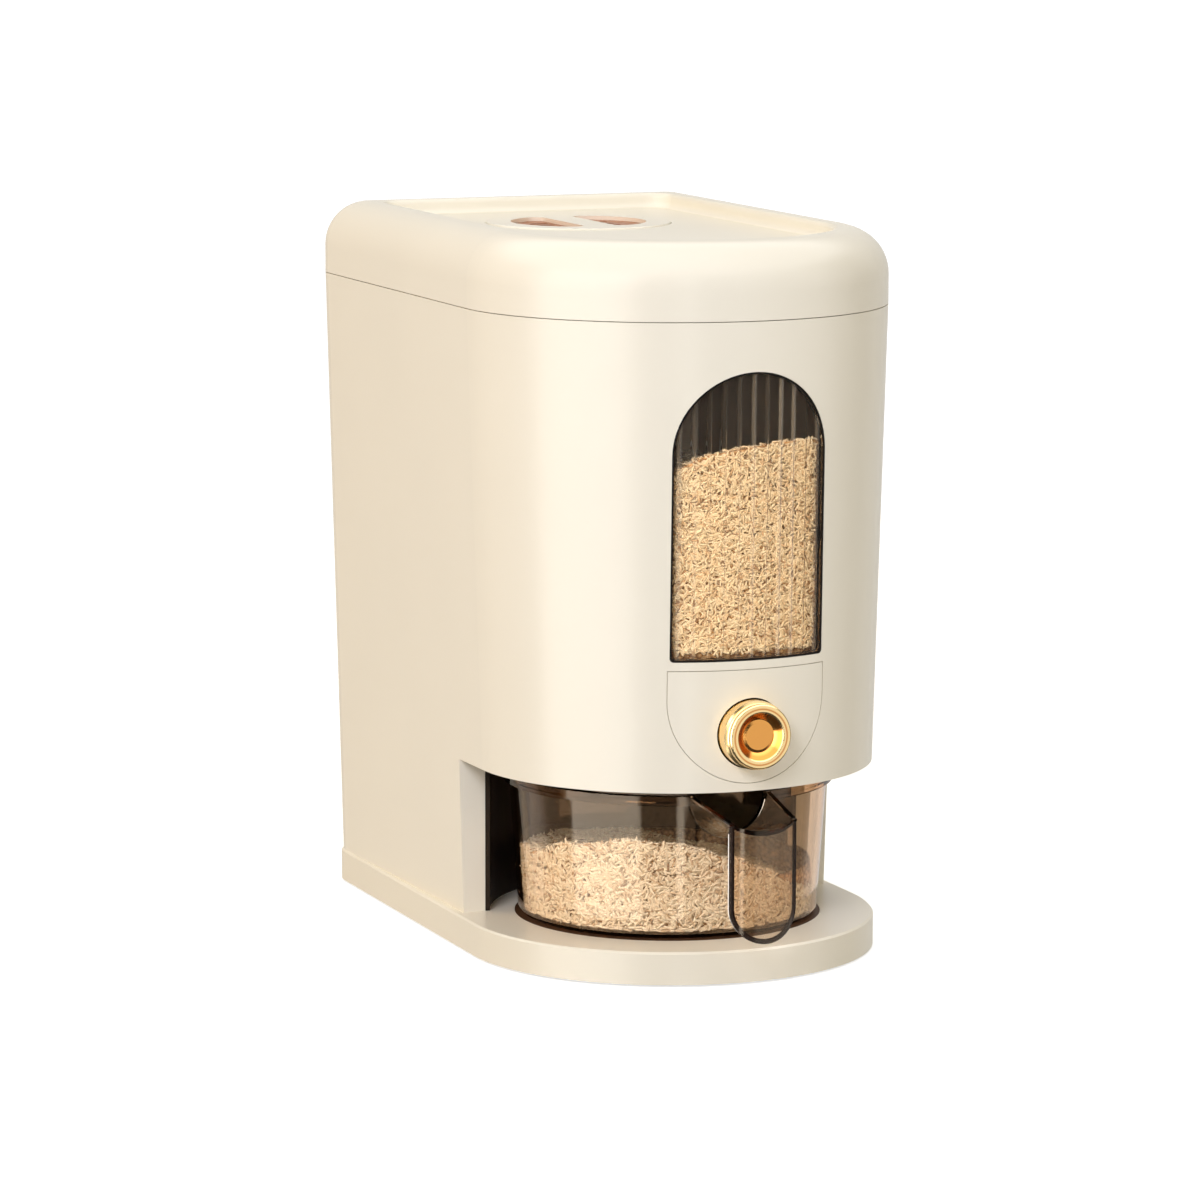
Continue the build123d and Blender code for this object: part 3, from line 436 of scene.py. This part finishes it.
def pane_with_painted_streaks(name, colour, tint, density, mirrored):
    """Clear pane with painted highlights: at each upright flute's edge it lets less through and shows its
    pale colour as a light streak, each flute by its own share.
    """
    n = Surface(name)
    n.set(IOR=1.12, Roughness=0.0)
    n.set(Specular_IOR_Level=1.0, Specular_Tint=(*mirrored, 1.0))
    n.mottle(colour, 0.01, 25.0)
    across = n.add("ShaderNodeSeparateXYZ", Vector=n.coords).outputs["X"]
    count = n.math("DIVIDE", across, FLUTE_PITCH * MM)
    nearest = n.math("ROUND", count)
    on_edge = n.math("COMPARE", count, nearest, FLUTE_SHARE)
    own = n.tree.nodes.new("ShaderNodeTexWhiteNoise")
    own.noise_dimensions = "1D"
    n.feed(own.inputs["W"], nearest)
    painted_streak = n.math("MULTIPLY", on_edge, own.outputs["Value"])
    # Painted highlight streaks along the flutes' edges
    n.link(n.span(painted_streak, 0.0, 1.0, PANE_CLEAR, PAINTED_STREAK_CLEAR), "Transmission Weight")
    n.absorb(tint, density)
    return n.material


def gold_with_painted_rings(name, rings):
    """Polished gold whose tone changes with the distance in mm from the button's axis; its darker rings are
    painted shade on the dish wall and in the groove near the rim.
    """
    n = Surface(name)
    n.set(Metallic=1.0)
    split = n.add("ShaderNodeSeparateXYZ", Vector=n.coords)
    level = n.math("SUBTRACT", split.outputs["Z"], BUTTON_HEIGHT * MM)
    across = n.add("ShaderNodeCombineXYZ", X=split.outputs["X"], Y=0.0, Z=level)
    reach = n.add("ShaderNodeVectorMath", Vector=across.outputs["Vector"])
    reach.operation = "LENGTH"
    share = n.math("DIVIDE", reach.outputs["Value"], BUTTON_RADIUS * MM)
    n.link(n.ramp(share, [(at / BUTTON_RADIUS, colour) for at, colour in rings]), "Base Color")
    polish(n, 0.13, 0.2)
    return n.material


def rice_material(name, light, mid, dark, speck):
    """Each grain takes its own tone; a few are darker."""
    n = Surface(name)
    island = n.tree.nodes.new("ShaderNodeNewGeometry").outputs["Random Per Island"]
    tone = n.ramp(island, [(0.0, speck), (0.05, dark), (0.2, mid), (0.6, light), (1.0, mid)])
    mottle = n.ramp(n.noise(500.0, 3.0), [(0.3, dark), (0.7, light)])
    n.link(n.blend(0.2, tone, mottle), "Base Color")
    n.link(n.spread(n.noise(300.0, 2.0), 0.4, 0.5), "Roughness")
    return n.material


def rice_bed_painted_gaps_material(name, light, mid, dark):
    """Bulk of the rice behind its outer grains: crowded long cells, lighter in their middles and darker
    towards their edges, which is painted shade in the gaps between grains.
    """
    n = Surface(name)
    warp = n.add("ShaderNodeMapping", Vector=n.coords, Scale=(1.0, 0.45, 0.9), Rotation=(0.5, 0.3, 0.7))
    cells = n.add("ShaderNodeTexVoronoi", Vector=warp.outputs["Vector"], Scale=520.0).outputs["Distance"]
    # Darker away from each cell's middle: painted shade between the grains
    n.link(n.ramp(cells, [(0.0, light), (0.35, mid), (0.75, dark)]), "Base Color")
    n.set(Roughness=0.6)
    n.link(n.bump(cells, 0.0006, 0.5), "Normal")
    return n.material


smooth_skin = {"vary": 0.008, "grain": 0.0, "scale": 14.0}
cream = moulded("cream_shell", srgb(243, 236, 219), rough=0.26, gloss=0.35, **smooth_skin)
cream_base = moulded("cream_base", srgb(241, 233, 214), rough=0.3, gloss=0.35, **smooth_skin)
cream_inner = moulded("cream_inner", srgb(228, 220, 200), rough=0.45, **smooth_skin)
cover_grey = moulded("cover_matt", srgb(205, 198, 182), rough=0.6, grain=0.00004)
dark_lining = moulded("dark_lining", srgb(46, 36, 28), rough=0.5, vary=0.12, grain=0.00005, gloss=0.2)
dark_trim = moulded("dark_trim", srgb(24, 18, 14), rough=0.5, vary=0.15, gloss=0.15)
# Inside of the hopper: cream darkened to tan, painted shade for the dim inside of the closed body
hopper_inside_painted_shade = moulded("hopper_inside_painted_shade", srgb(196, 166, 130), rough=0.5, vary=0.04, gloss=0.3)
rubber = moulded("rubber_pads", srgb(40, 38, 36), rough=0.8, vary=0.1, grain=0.00006)
seal = moulded("seal_soft", srgb(214, 208, 196), rough=0.7)
# Dark bead on the grip's outline: painted shade for the dark edge of the clear grip
grip_outline_painted_dark = moulded("amber_outline_painted_shade", srgb(30, 17, 10), vary=0.1, grain=0.0, gloss=0.15)
ring_brown = moulded("ring_brown", srgb(66, 42, 22), rough=0.5, vary=0.1, gloss=0.2)
pack_cloth = moulded("pack_cloth", srgb(214, 208, 196), rough=0.9, vary=0.06, grain=0.0002)
steel = metal("steel", srgb(190, 190, 192), rough=0.3)
gold_dark = metal("gold_dark", srgb(158, 92, 28), rough=0.35)

GOLD = srgb(248, 216, 156)
GOLD_DEEP = srgb(226, 160, 84)
GOLD_PAINTED_SHADE = srgb(206, 132, 62)
# Deep gold in the dish, painted shade on its wall and in the groove, bright gold on the rim
gold = gold_with_painted_rings("gold", (
    (0.0, GOLD_DEEP), (8.6, GOLD_DEEP), (9.6, GOLD_PAINTED_SHADE), (11.0, GOLD_PAINTED_SHADE), (11.6, GOLD), (12.6, GOLD),
    (13.3, GOLD_PAINTED_SHADE), (14.0, GOLD),
))

smoky = pane_with_painted_streaks("smoky_pane", srgb(240, 226, 206), (0.72, 0.60, 0.46), 60.0, mirrored=(1.0, 0.88, 0.72))
amber = clear("amber_clear", srgb(254, 250, 246), (0.74, 0.51, 0.24), 220.0, mirrored=(1.0, 0.84, 0.64))

rice_behind_pane = rice_material(
    "rice_behind_pane", srgb(234, 229, 208), srgb(220, 205, 177), srgb(189, 161, 125), srgb(106, 74, 48)
)
rice_behind_amber = rice_material(
    "rice_behind_amber", srgb(238, 235, 214), srgb(226, 215, 190), srgb(190, 166, 132), srgb(104, 74, 46)
)
rice_bulk_painted_gaps = rice_bed_painted_gaps_material("rice_bulk_painted_gaps", srgb(220, 192, 150), srgb(190, 154, 110), srgb(116, 80, 48))

by_node = {
    "body_shell": cream,
    "lid_shell": cream,
    "button_plate": cream,
    "moisture_cap": cream,
    "base_plate": cream_base,
    "base_cover": cover_grey,
    "foot_pads": rubber,
    "base_screws": steel,
    "seat_ring": ring_brown,
    "bay_lining": dark_lining,
    "bay_deck": dark_lining,
    "deck_screws": steel,
    "hopper_floor": cream_inner,
    "outlet_spout": dark_trim,
    "gate": cream_inner,
    "gate_track": cream_inner,
    "button_guide": dark_trim,
    "push_button": gold,
    "push_stem": cream_inner,
    "stem_screw": steel,
    "return_spring": steel,
    "window_gasket": dark_trim,
    "window_pane": smoky,
    # Window frame: dark, painted shade round the inside of the window's edge
    "window_frame": dark_trim,
    "rice_cup": amber,
    "hinge_pins": steel,
    "lid_liner": cream_inner,
    "liner_screws": steel,
    "lid_seal": seal,
    "moisture_box": cream_inner,
    "desiccant_pack": pack_cloth,
    "cap_inserts": gold_dark,
}
for node_name, material in by_node.items():
    mesh = nodes[node_name].data
    mesh.materials.clear()
    mesh.materials.append(material)


def face_material(node, material, chosen):
    """Second material on the faces of a node that chosen(centre, normal) picks, in mm."""
    mesh = nodes[node].data
    mesh.materials.append(material)
    for polygon in mesh.polygons:
        if chosen(polygon.center / MM, polygon.normal):
            polygon.material_index = 1


def inside_shell(centre, normal):
    """Faces of the hopper's inner wall: above the bay and turned towards the middle."""
    axis_y = FRONT_Y + SEAM_RADIUS
    reach = math.hypot(centre.x, min(centre.y - axis_y, 0.0))
    facing = normal.x * centre.x + normal.y * centre.y < 0
    within = reach < wall_radius(centre.z, SKIN) and centre.y < BACK_Y - SKIN
    return facing and within and centre.z > NECK_TOP


def pane_rim(centre, normal):
    """Faces of the pane outside the window."""
    return not inside_arch(centre.x, centre.z, PANE_RIM)


# Tan on the hopper's inner wall faces: painted shade
face_material("body_shell", hopper_inside_painted_shade, inside_shell)
face_material("window_pane", dark_trim, pane_rim)

# Light reaches the rice through the clear pieces
for node_name in ("window_pane", "rice_cup"):
    nodes[node_name].visible_shadow = False


# ---------------------------------------------------------------------------
# Rice
# ---------------------------------------------------------------------------

def grain_shape():
    """One grain along X, as points and faces, before it is turned and placed."""
    sides = 6
    flat = 0.44
    tip_shift = 0.03
    verts = [(-0.5, 0.0, 0.0)]
    for along, width in ((-0.32, 0.78), (0.32, 0.74)):
        for k in range(sides):
            turn = 2 * math.pi * k / sides
            verts.append((along, 0.5 * width * math.cos(turn), flat * width * math.sin(turn)))
    verts.append((0.5, tip_shift, 0.0))
    faces = []
    for k in range(sides):
        k2 = (k + 1) % sides
        faces.append((0, 1 + k2, 1 + k))
        faces.append((1 + k, 1 + k2, 1 + sides + k2, 1 + sides + k))
        faces.append((1 + 2 * sides, 1 + sides + k, 1 + sides + k2))
    return verts, faces


GRAIN_VERTS, GRAIN_FACES = grain_shape()


def grains(name, places, seed, skin, size=1.0):
    """One mesh of many grains. A place is a position in mm, an outward direction and a freedom to turn."""
    length_range = (0.8, 1.08)
    width_range = (0.88, 1.12)
    tip_spread = 0.16
    rng = random.Random(seed)
    verts = []
    faces = []
    for at, outward, freedom in places:
        length = GRAIN_LENGTH * size * rng.uniform(*length_range)
        width = GRAIN_WIDTH * size * rng.uniform(*width_range)
        turn = Quaternion((0, 0, 1), rng.uniform(-freedom, freedom))
        tip = Quaternion((0, 1, 0), rng.gauss(0, tip_spread))
        spin = outward.to_track_quat("Z", "Y") @ turn @ tip
        start = len(verts)
        for x, y, z in GRAIN_VERTS:
            verts.append(at + spin @ Vector((x * length, y * width, z * width)))
        faces.extend([tuple(start + i for i in face) for face in GRAIN_FACES])
    return mesh_object(name, verts, faces, skin)


def ripple(x, y, layer, scale):
    """Smooth uneven value from -1 to 1 at a spot in mm. Each layer has a run of its own."""
    return noise.noise(Vector((x, y, layer)) * scale)


def upward(rng, tilt):
    """Direction that leans away from straight up by chance."""
    return Vector((rng.gauss(0, tilt), rng.gauss(0, tilt), 1.0)).normalized()


def hopper_floor_height(x, y):
    """Height of the sloping floor's upper face, in mm."""
    front = (OUTLET_Y - OUTLET_HALF_DEPTH - y) * math.tan(math.radians(FRONT_SLOPE))
    rear = (y - OUTLET_Y - OUTLET_HALF_DEPTH) * math.tan(math.radians(REAR_SLOPE))
    side = (abs(x) - OUTLET_HALF_WIDTH) * math.tan(math.radians(SIDE_SLOPE))
    return NECK_TOP + max(front, rear, side, 0.0)


def hopper_rice_top(x, y):
    """Height of the rice in the hopper, in mm."""
    rise = HOPPER_RISE * x / WINDOW_HALF if abs(x) < WINDOW_HALF else HOPPER_RISE * math.copysign(1, x)
    dip = -HOPPER_DIP * clamp((-DIP_START - x) / DIP_WIDTH)
    behind = y - FRONT_Y - FALL_START
    fine = ripple(x, y, 9.0, 0.07)
    roll = clamp(behind / ROLL_LENGTH) * ROLL_HEIGHT * ripple(x, y, 3.0, 0.018) + fine
    back = -HOPPER_FALL * clamp(behind / FALL_LENGTH)
    return HOPPER_RICE + rise + dip + roll + back


def plan_outline(z, inset):
    """Closed run of points round the body's inner wall at a height."""
    share = lean(z)
    radius = wall_radius(z, inset)
    back_half = SEAM_RADIUS + share * (FOOT_BACK_HALF - SEAM_RADIUS) - inset
    back = BACK_Y - share * FOOT_BACK_INSET - inset
    centre = wall_front(z) + inset + radius
    corner_x = back_half - BACK_CORNER
    corner_y = back - BACK_CORNER
    front_steps, side_steps, back_steps, corner_steps = 64, 14, 8, 8
    points = []
    for k in range(front_steps):
        turn = math.pi + math.pi * k / front_steps
        points.append((radius * math.cos(turn), centre + radius * math.sin(turn)))
    for k in range(side_steps):
        t = k / side_steps
        points.append((radius + t * (back_half - radius), centre + t * (corner_y - centre)))
    for k in range(corner_steps + 1):
        turn = math.pi / 2 * k / corner_steps
        points.append((corner_x + BACK_CORNER * math.cos(turn), corner_y + BACK_CORNER * math.sin(turn)))
    for k in range(1, back_steps):
        points.append((corner_x * (1 - 2 * k / back_steps), back))
    for k in range(corner_steps + 1):
        turn = math.pi / 2 + math.pi / 2 * k / corner_steps
        points.append((-corner_x + BACK_CORNER * math.cos(turn), corner_y + BACK_CORNER * math.sin(turn)))
    for k in range(1, side_steps):
        t = 1 - k / side_steps
        points.append((-radius + t * (radius - back_half), centre + t * (corner_y - centre)))
    return points


def hopper_bed():
    """The bulk of the rice in the hopper: a heaped top, and the funnel below."""
    outline = plan_outline(HOPPER_RICE, HOPPER_BED_INSET)
    low_outline = plan_outline(BED_LOW_OUTLINE, HOPPER_BED_INSET)
    shares = [0.12, 0.26, 0.4, 0.54, 0.67, 0.79, 0.89, 0.96, 1.0]
    verts = [(0.0, 0.0, hopper_rice_top(0.0, 0.0))]
    for share in shares:
        for x, y in outline:
            verts.append((share * x, share * y, hopper_rice_top(share * x, share * y)))
    for share in reversed(shares):
        for x, y in low_outline:
            low = hopper_floor_height(share * x, share * y) + BED_CLEAR
            verts.append((share * x, share * y, max(low, BED_LOWEST)))
    verts.append((0.0, 0.0, hopper_floor_height(0.0, 0.0) + BED_CLEAR))
    return mesh_object("hopper_rice_bed", verts, lathe_faces(len(outline), 2 * len(shares)), rice_bulk_painted_gaps)


def window_places(rng):
    """Grains lying against the pane, in three layers."""
    looseness = (-0.05, 0.4)
    below_top = (0.3, 1.8)
    tilt = 0.03
    places = []
    for depth, number in WINDOW_LAYERS:
        made = 0
        while made < number:
            x = rng.uniform(-WINDOW_HALF, WINDOW_HALF)
            z = rng.uniform(WINDOW_BOTTOM, HOPPER_HIGHEST)
            if not inside_arch(x, z, WINDOW_MARGIN):
                continue
            y = front_wall(x, z, PANE_INSET + PANE_BACK + depth + rng.uniform(*looseness))
            if z > hopper_rice_top(x, y) - rng.uniform(*below_top):
                continue
            radius = wall_radius(z, PANE_INSET)
            outward = Vector((x / radius, -math.sqrt(1 - (x / radius) ** 2), tilt))
            places.append((Vector((x, y, z)), outward, math.pi))
            made += 1
    return places


def hopper_top_places(rng):
    """Grains on top of the rice in the hopper."""
    height_range = (-0.2, 0.7)
    tilt = 0.15
    places = []
    inner = wall_radius(HOPPER_RICE, HOPPER_TOP_INSET)
    centre = wall_front(HOPPER_RICE) + HOPPER_TOP_INSET + inner
    while len(places) < HOPPER_TOP_GRAINS:
        x = rng.uniform(*HOPPER_ACROSS)
        y = rng.uniform(*HOPPER_ALONG)
        if y < centre and math.hypot(x, y - centre) > inner:
            continue
        z = hopper_rice_top(x, y) + rng.uniform(*height_range)
        places.append((Vector((x, y, z)), upward(rng, tilt), math.pi))
    return places


def cup_inner_radius(z):
    return CUP_FLOOR_RADIUS + CUP_FLARE * (z - CUP_FLOOR) / CUP_DEPTH


def cup_rice_top(x, y):
    """Height of the rice in the cup, with x and y from the cup's middle, in mm."""
    angle = math.degrees(math.atan2(x, -y))
    wall_height = CUP_RICE[-1][1]
    for (a0, h0), (a1, h1) in zip(CUP_RICE, CUP_RICE[1:]):
        if a0 <= angle <= a1:
            t = (angle - a0) / (a1 - a0)
            t = t * t * (3 - 2 * t)
            wall_height = h0 + t * (h1 - h0)
            break
    share = min(1.0, math.hypot(x, y) / CUP_RICE_REACH)
    roll = CUP_RICE_ROLL * ripple(x, y, 21.0, 0.045)
    return CUP_RICE_MIDDLE + (wall_height - CUP_RICE_MIDDLE) * share ** CUP_RICE_CURVE + roll


def cup_bed():
    """The bulk of the rice in the cup."""
    count = 96
    shares = [0.14, 0.3, 0.46, 0.62, 0.76, 0.88, 1.0]
    turns = [2 * math.pi * k / count for k in range(count)]
    verts = [(0.0, CUP_Y, cup_rice_top(0.0, 0.0))]
    for share in shares:
        radius = share * (cup_inner_radius(CUP_BED_TOP) - CUP_BED_INSET)
        for turn in turns:
            x, y = radius * math.sin(turn), -radius * math.cos(turn)
            verts.append((x, CUP_Y + y, cup_rice_top(x, y)))
    for z, trim in CUP_BED_ROWS:
        radius = cup_inner_radius(z) - CUP_BED_INSET - trim
        for turn in turns:
            verts.append((radius * math.sin(turn), CUP_Y - radius * math.cos(turn), z))
    verts.append((0.0, CUP_Y, CUP_BED_BOTTOM))
    rings = len(shares) + len(CUP_BED_ROWS)
    return mesh_object("cup_rice_bed", verts, lathe_faces(count, rings), rice_bulk_painted_gaps)


def cup_wall_places(rng):
    """Grains against the inside of the cup's wall, in three layers. On the floor they lie level."""
    looseness = (0.0, 0.4)
    below_top = (0.0, 1.6)
    tilt = -0.06
    level_freedom = 0.15
    places = []
    for depth, number in CUP_LAYERS:
        made = 0
        while made < number:
            turn = rng.uniform(-math.pi, math.pi)
            z = rng.uniform(CUP_FLOOR + CUP_FLOOR_MARGIN, CUP_RICE_HIGHEST)
            radius = cup_inner_radius(z) - depth - rng.uniform(*looseness)
            x, y = radius * math.sin(turn), -radius * math.cos(turn)
            if z > cup_rice_top(x, y) - rng.uniform(*below_top):
                continue
            outward = Vector((math.sin(turn), -math.cos(turn), tilt)).normalized()
            freedom = math.pi if z > CUP_FLOOR + GRAIN_LENGTH / 2 else level_freedom
            places.append((Vector((x, CUP_Y + y, z)), outward, freedom))
            made += 1
    return places


def cup_top_places(rng):
    """Grains on top of the rice in the cup."""
    height_range = (-0.3, 0.8)
    tilt = 0.22
    places = []
    while len(places) < CUP_TOP_GRAINS:
        x, y = rng.uniform(*CUP_TOP_SQUARE), rng.uniform(*CUP_TOP_SQUARE)
        if math.hypot(x, y) > CUP_TOP_RADIUS:
            continue
        z = cup_rice_top(x, y) + rng.uniform(*height_range)
        places.append((Vector((x, CUP_Y + y, z)), upward(rng, tilt), math.pi))
    return places


window_spots = window_places(random.Random(11))
hopper_top_spots = hopper_top_places(random.Random(12))
cup_wall_spots = cup_wall_places(random.Random(13))
cup_top_spots = cup_top_places(random.Random(14))
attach(hopper_bed(), "stand")
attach(grains("hopper_window_grains", window_spots, 1, rice_behind_pane, WINDOW_GRAIN), "stand")
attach(grains("hopper_top_grains", hopper_top_spots, 2, rice_behind_pane), "stand")
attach(cup_bed(), "cup")
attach(grains("cup_wall_grains", cup_wall_spots, 3, rice_behind_amber), "cup")
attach(grains("cup_top_grains", cup_top_spots, 4, rice_behind_amber), "cup")


# ---------------------------------------------------------------------------
# Dark edge of the grip, painted shade along its clear outline, and the return spring
# ---------------------------------------------------------------------------

def grip_painted_dark_outline():
    """Bead along the tongue's outline, on its curved face. Its dark colour is painted shade for the
    darkness that bent light gives the edge of the clear grip.
    """
    radius = (GRIP_HALF ** 2 + GRIP_BULGE ** 2) / (2 * GRIP_BULGE)
    half = GRIP_HALF - GRIP_EDGE + GRIP_EDGE_OUT
    low_centre = GRIP_BOTTOM + GRIP_HALF
    straight = TONGUE_TOP - low_centre
    side_steps, round_steps = 12, 24

    def at(x, z):
        y = GRIP_Y + radius - math.sqrt((radius - GRIP_EDGE) ** 2 - x ** 2)
        return (x, y, z)

    run = [at(-half, TONGUE_TOP - k * straight / side_steps) for k in range(side_steps)]
    for k in range(round_steps + 1):
        turn = math.pi + math.pi * k / round_steps
        run.append(at(half * math.cos(turn), low_centre + half * math.sin(turn)))
    run += [at(half, low_centre + (k + 1) * straight / side_steps) for k in range(side_steps)]
    return run


# Painted shade: dark bead along the clear grip's outline
edge = tube("grip_painted_dark_outline", grip_painted_dark_outline(), GRIP_EDGE, grip_outline_painted_dark)
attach(edge, "cup")


def spring_coil():
    """The coil: a copy of its CAD node's mesh, fixed to the stand, with the CAD node hidden."""
    coil = add_object("spring_coil", nodes["return_spring"].data.copy())
    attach(coil, "stand")
    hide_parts("return_spring")
    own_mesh(coil)


spring_coil()


# ---------------------------------------------------------------------------
# Floor, lights and camera
# ---------------------------------------------------------------------------

def stage_material():
    """Pale floor that shows white and keeps the shadow."""
    n = Surface("stage_white")
    n.set(Base_Color=(0.72, 0.71, 0.69, 1.0), Roughness=0.9, Specular_IOR_Level=0.0)
    n.set(Emission_Color=(1.0, 1.0, 1.0, 1.0))
    rays = n.add("ShaderNodeLightPath").outputs
    seen = n.math("MAXIMUM", rays["Is Camera Ray"], rays["Is Glossy Ray"])
    seen = n.math("MAXIMUM", seen, rays["Is Transmission Ray"])
    n.link(n.math("MULTIPLY", seen, FLOOR_LIFT), "Emission Strength")
    return n.material


def add_floor():
    """Square floor that mirrored rays don't meet."""
    corners = [(x * FLOOR_HALF, y * FLOOR_HALF, 0) for x, y in ((-1, -1), (1, -1), (1, 1), (-1, 1))]
    mesh = bpy.data.meshes.new("floor")
    mesh.from_pydata(corners, [], [(0, 1, 2, 3)])
    mesh.materials.append(stage_material())
    floor = add_object("floor", mesh)
    floor.visible_glossy = False


def area_light(name, azimuth, elevation, distance, side, power, colour):
    """Soft square light aimed at the middle of the object, placed by its direction in degrees."""
    turn, rise = math.radians(azimuth), math.radians(elevation)
    toward = Vector((math.sin(turn) * math.cos(rise), -math.cos(turn) * math.cos(rise), math.sin(rise)))
    light = bpy.data.lights.new(name, "AREA")
    light.shape = "RECTANGLE"
    light.size = side
    light.size_y = side
    light.energy = power
    light.color = colour
    lamp = add_object(name, light)
    lamp.location = LIGHTS_AIM + toward * distance
    lamp.rotation_mode = "QUATERNION"
    lamp.rotation_quaternion = toward.to_track_quat("Z", "Y")
    lamp.visible_glossy = False


def studio(sky, way):
    """Brightness that gloss and clear plastic meet: tall panels, a light ceiling and a dark floor."""
    ahead = sky.math("MULTIPLY", way["Y"], -1.0)
    turn = sky.math("ARCTAN2", way["X"], ahead)
    stops = [((azimuth + 180) / 360, (level, level, level)) for azimuth, level in PANELS]
    around = sky.ramp(sky.span(turn, -math.pi, math.pi), stops)
    above_floor = sky.mix(sky.span(way["Z"], *FLOOR_LINE), DARK, around)
    level = sky.mix(sky.span(way["Z"], *CEILING_LINE), above_floor, OVERHEAD)
    return sky.math("MULTIPLY", level, PANEL_LEVEL)


def add_world():
    """White to the camera, the studio to mirrored and bent rays, and soft light to matt skin."""
    world = bpy.data.worlds.new("studio")
    bpy.context.scene.world = world
    world.use_nodes = True
    sky = Tree(world.node_tree)
    background = sky.tree.nodes["Background"]
    direction = sky.add("ShaderNodeTexCoord").outputs["Generated"]
    way = sky.add("ShaderNodeSeparateXYZ", Vector=direction).outputs
    rays = sky.add("ShaderNodeLightPath").outputs

    by_side = sky.blend(sky.span(way["X"], *WARM_REACH), NEUTRAL, WARM_SIDE)
    hue = sky.blend(rays["Is Diffuse Ray"], (1.0, 1.0, 1.0), by_side)
    sky.feed(background.inputs["Color"], hue)

    mirrored = sky.math("MAXIMUM", rays["Is Glossy Ray"], rays["Is Transmission Ray"])
    met = sky.mix(mirrored, AMBIENT, studio(sky, way))
    sky.feed(background.inputs["Strength"], sky.mix(rays["Is Camera Ray"], met, BACKGROUND))


def add_camera():
    """The scene's camera, which looks along its azimuth and elevation with a slight roll."""
    data = bpy.data.cameras.new("camera")
    data.lens = LENS
    data.sensor_width = SENSOR
    data.sensor_fit = "HORIZONTAL"
    data.clip_end = FARTHEST
    camera = add_object("camera", data)
    camera.location = CAMERA_AT
    reach = math.cos(ELEVATION)
    backward = Vector((math.sin(AZIMUTH) * reach, -math.cos(AZIMUTH) * reach, math.sin(ELEVATION)))
    right = Vector((math.cos(AZIMUTH), math.sin(AZIMUTH), 0.0))
    up = backward.cross(right)
    turned = Matrix((right, up, backward)).transposed() @ Matrix.Rotation(ROLL, 3, "Z")
    camera.rotation_mode = "QUATERNION"
    camera.rotation_quaternion = turned.to_quaternion()
    bpy.context.scene.camera = camera


add_floor()
area_light("key", -42, 30, 2.4, 0.9, 29.5, (0.96, 1.0, 1.14))
area_light("top", 0, 85, 2.0, 1.4, 8.4, (1.0, 0.94, 0.82))
area_light("warm", -112, 12, 2.0, 1.2, 6.5, (1.0, 0.6, 0.14))
area_light("fill", 62, 14, 2.2, 1.2, 8.0, (1.0, 0.94, 0.84))
area_light("rear", 165, 20, 2.2, 1.2, 6.0, (1.0, 0.95, 0.86))
add_world()
add_camera()

bpy.context.scene.view_settings.view_transform = "Standard"
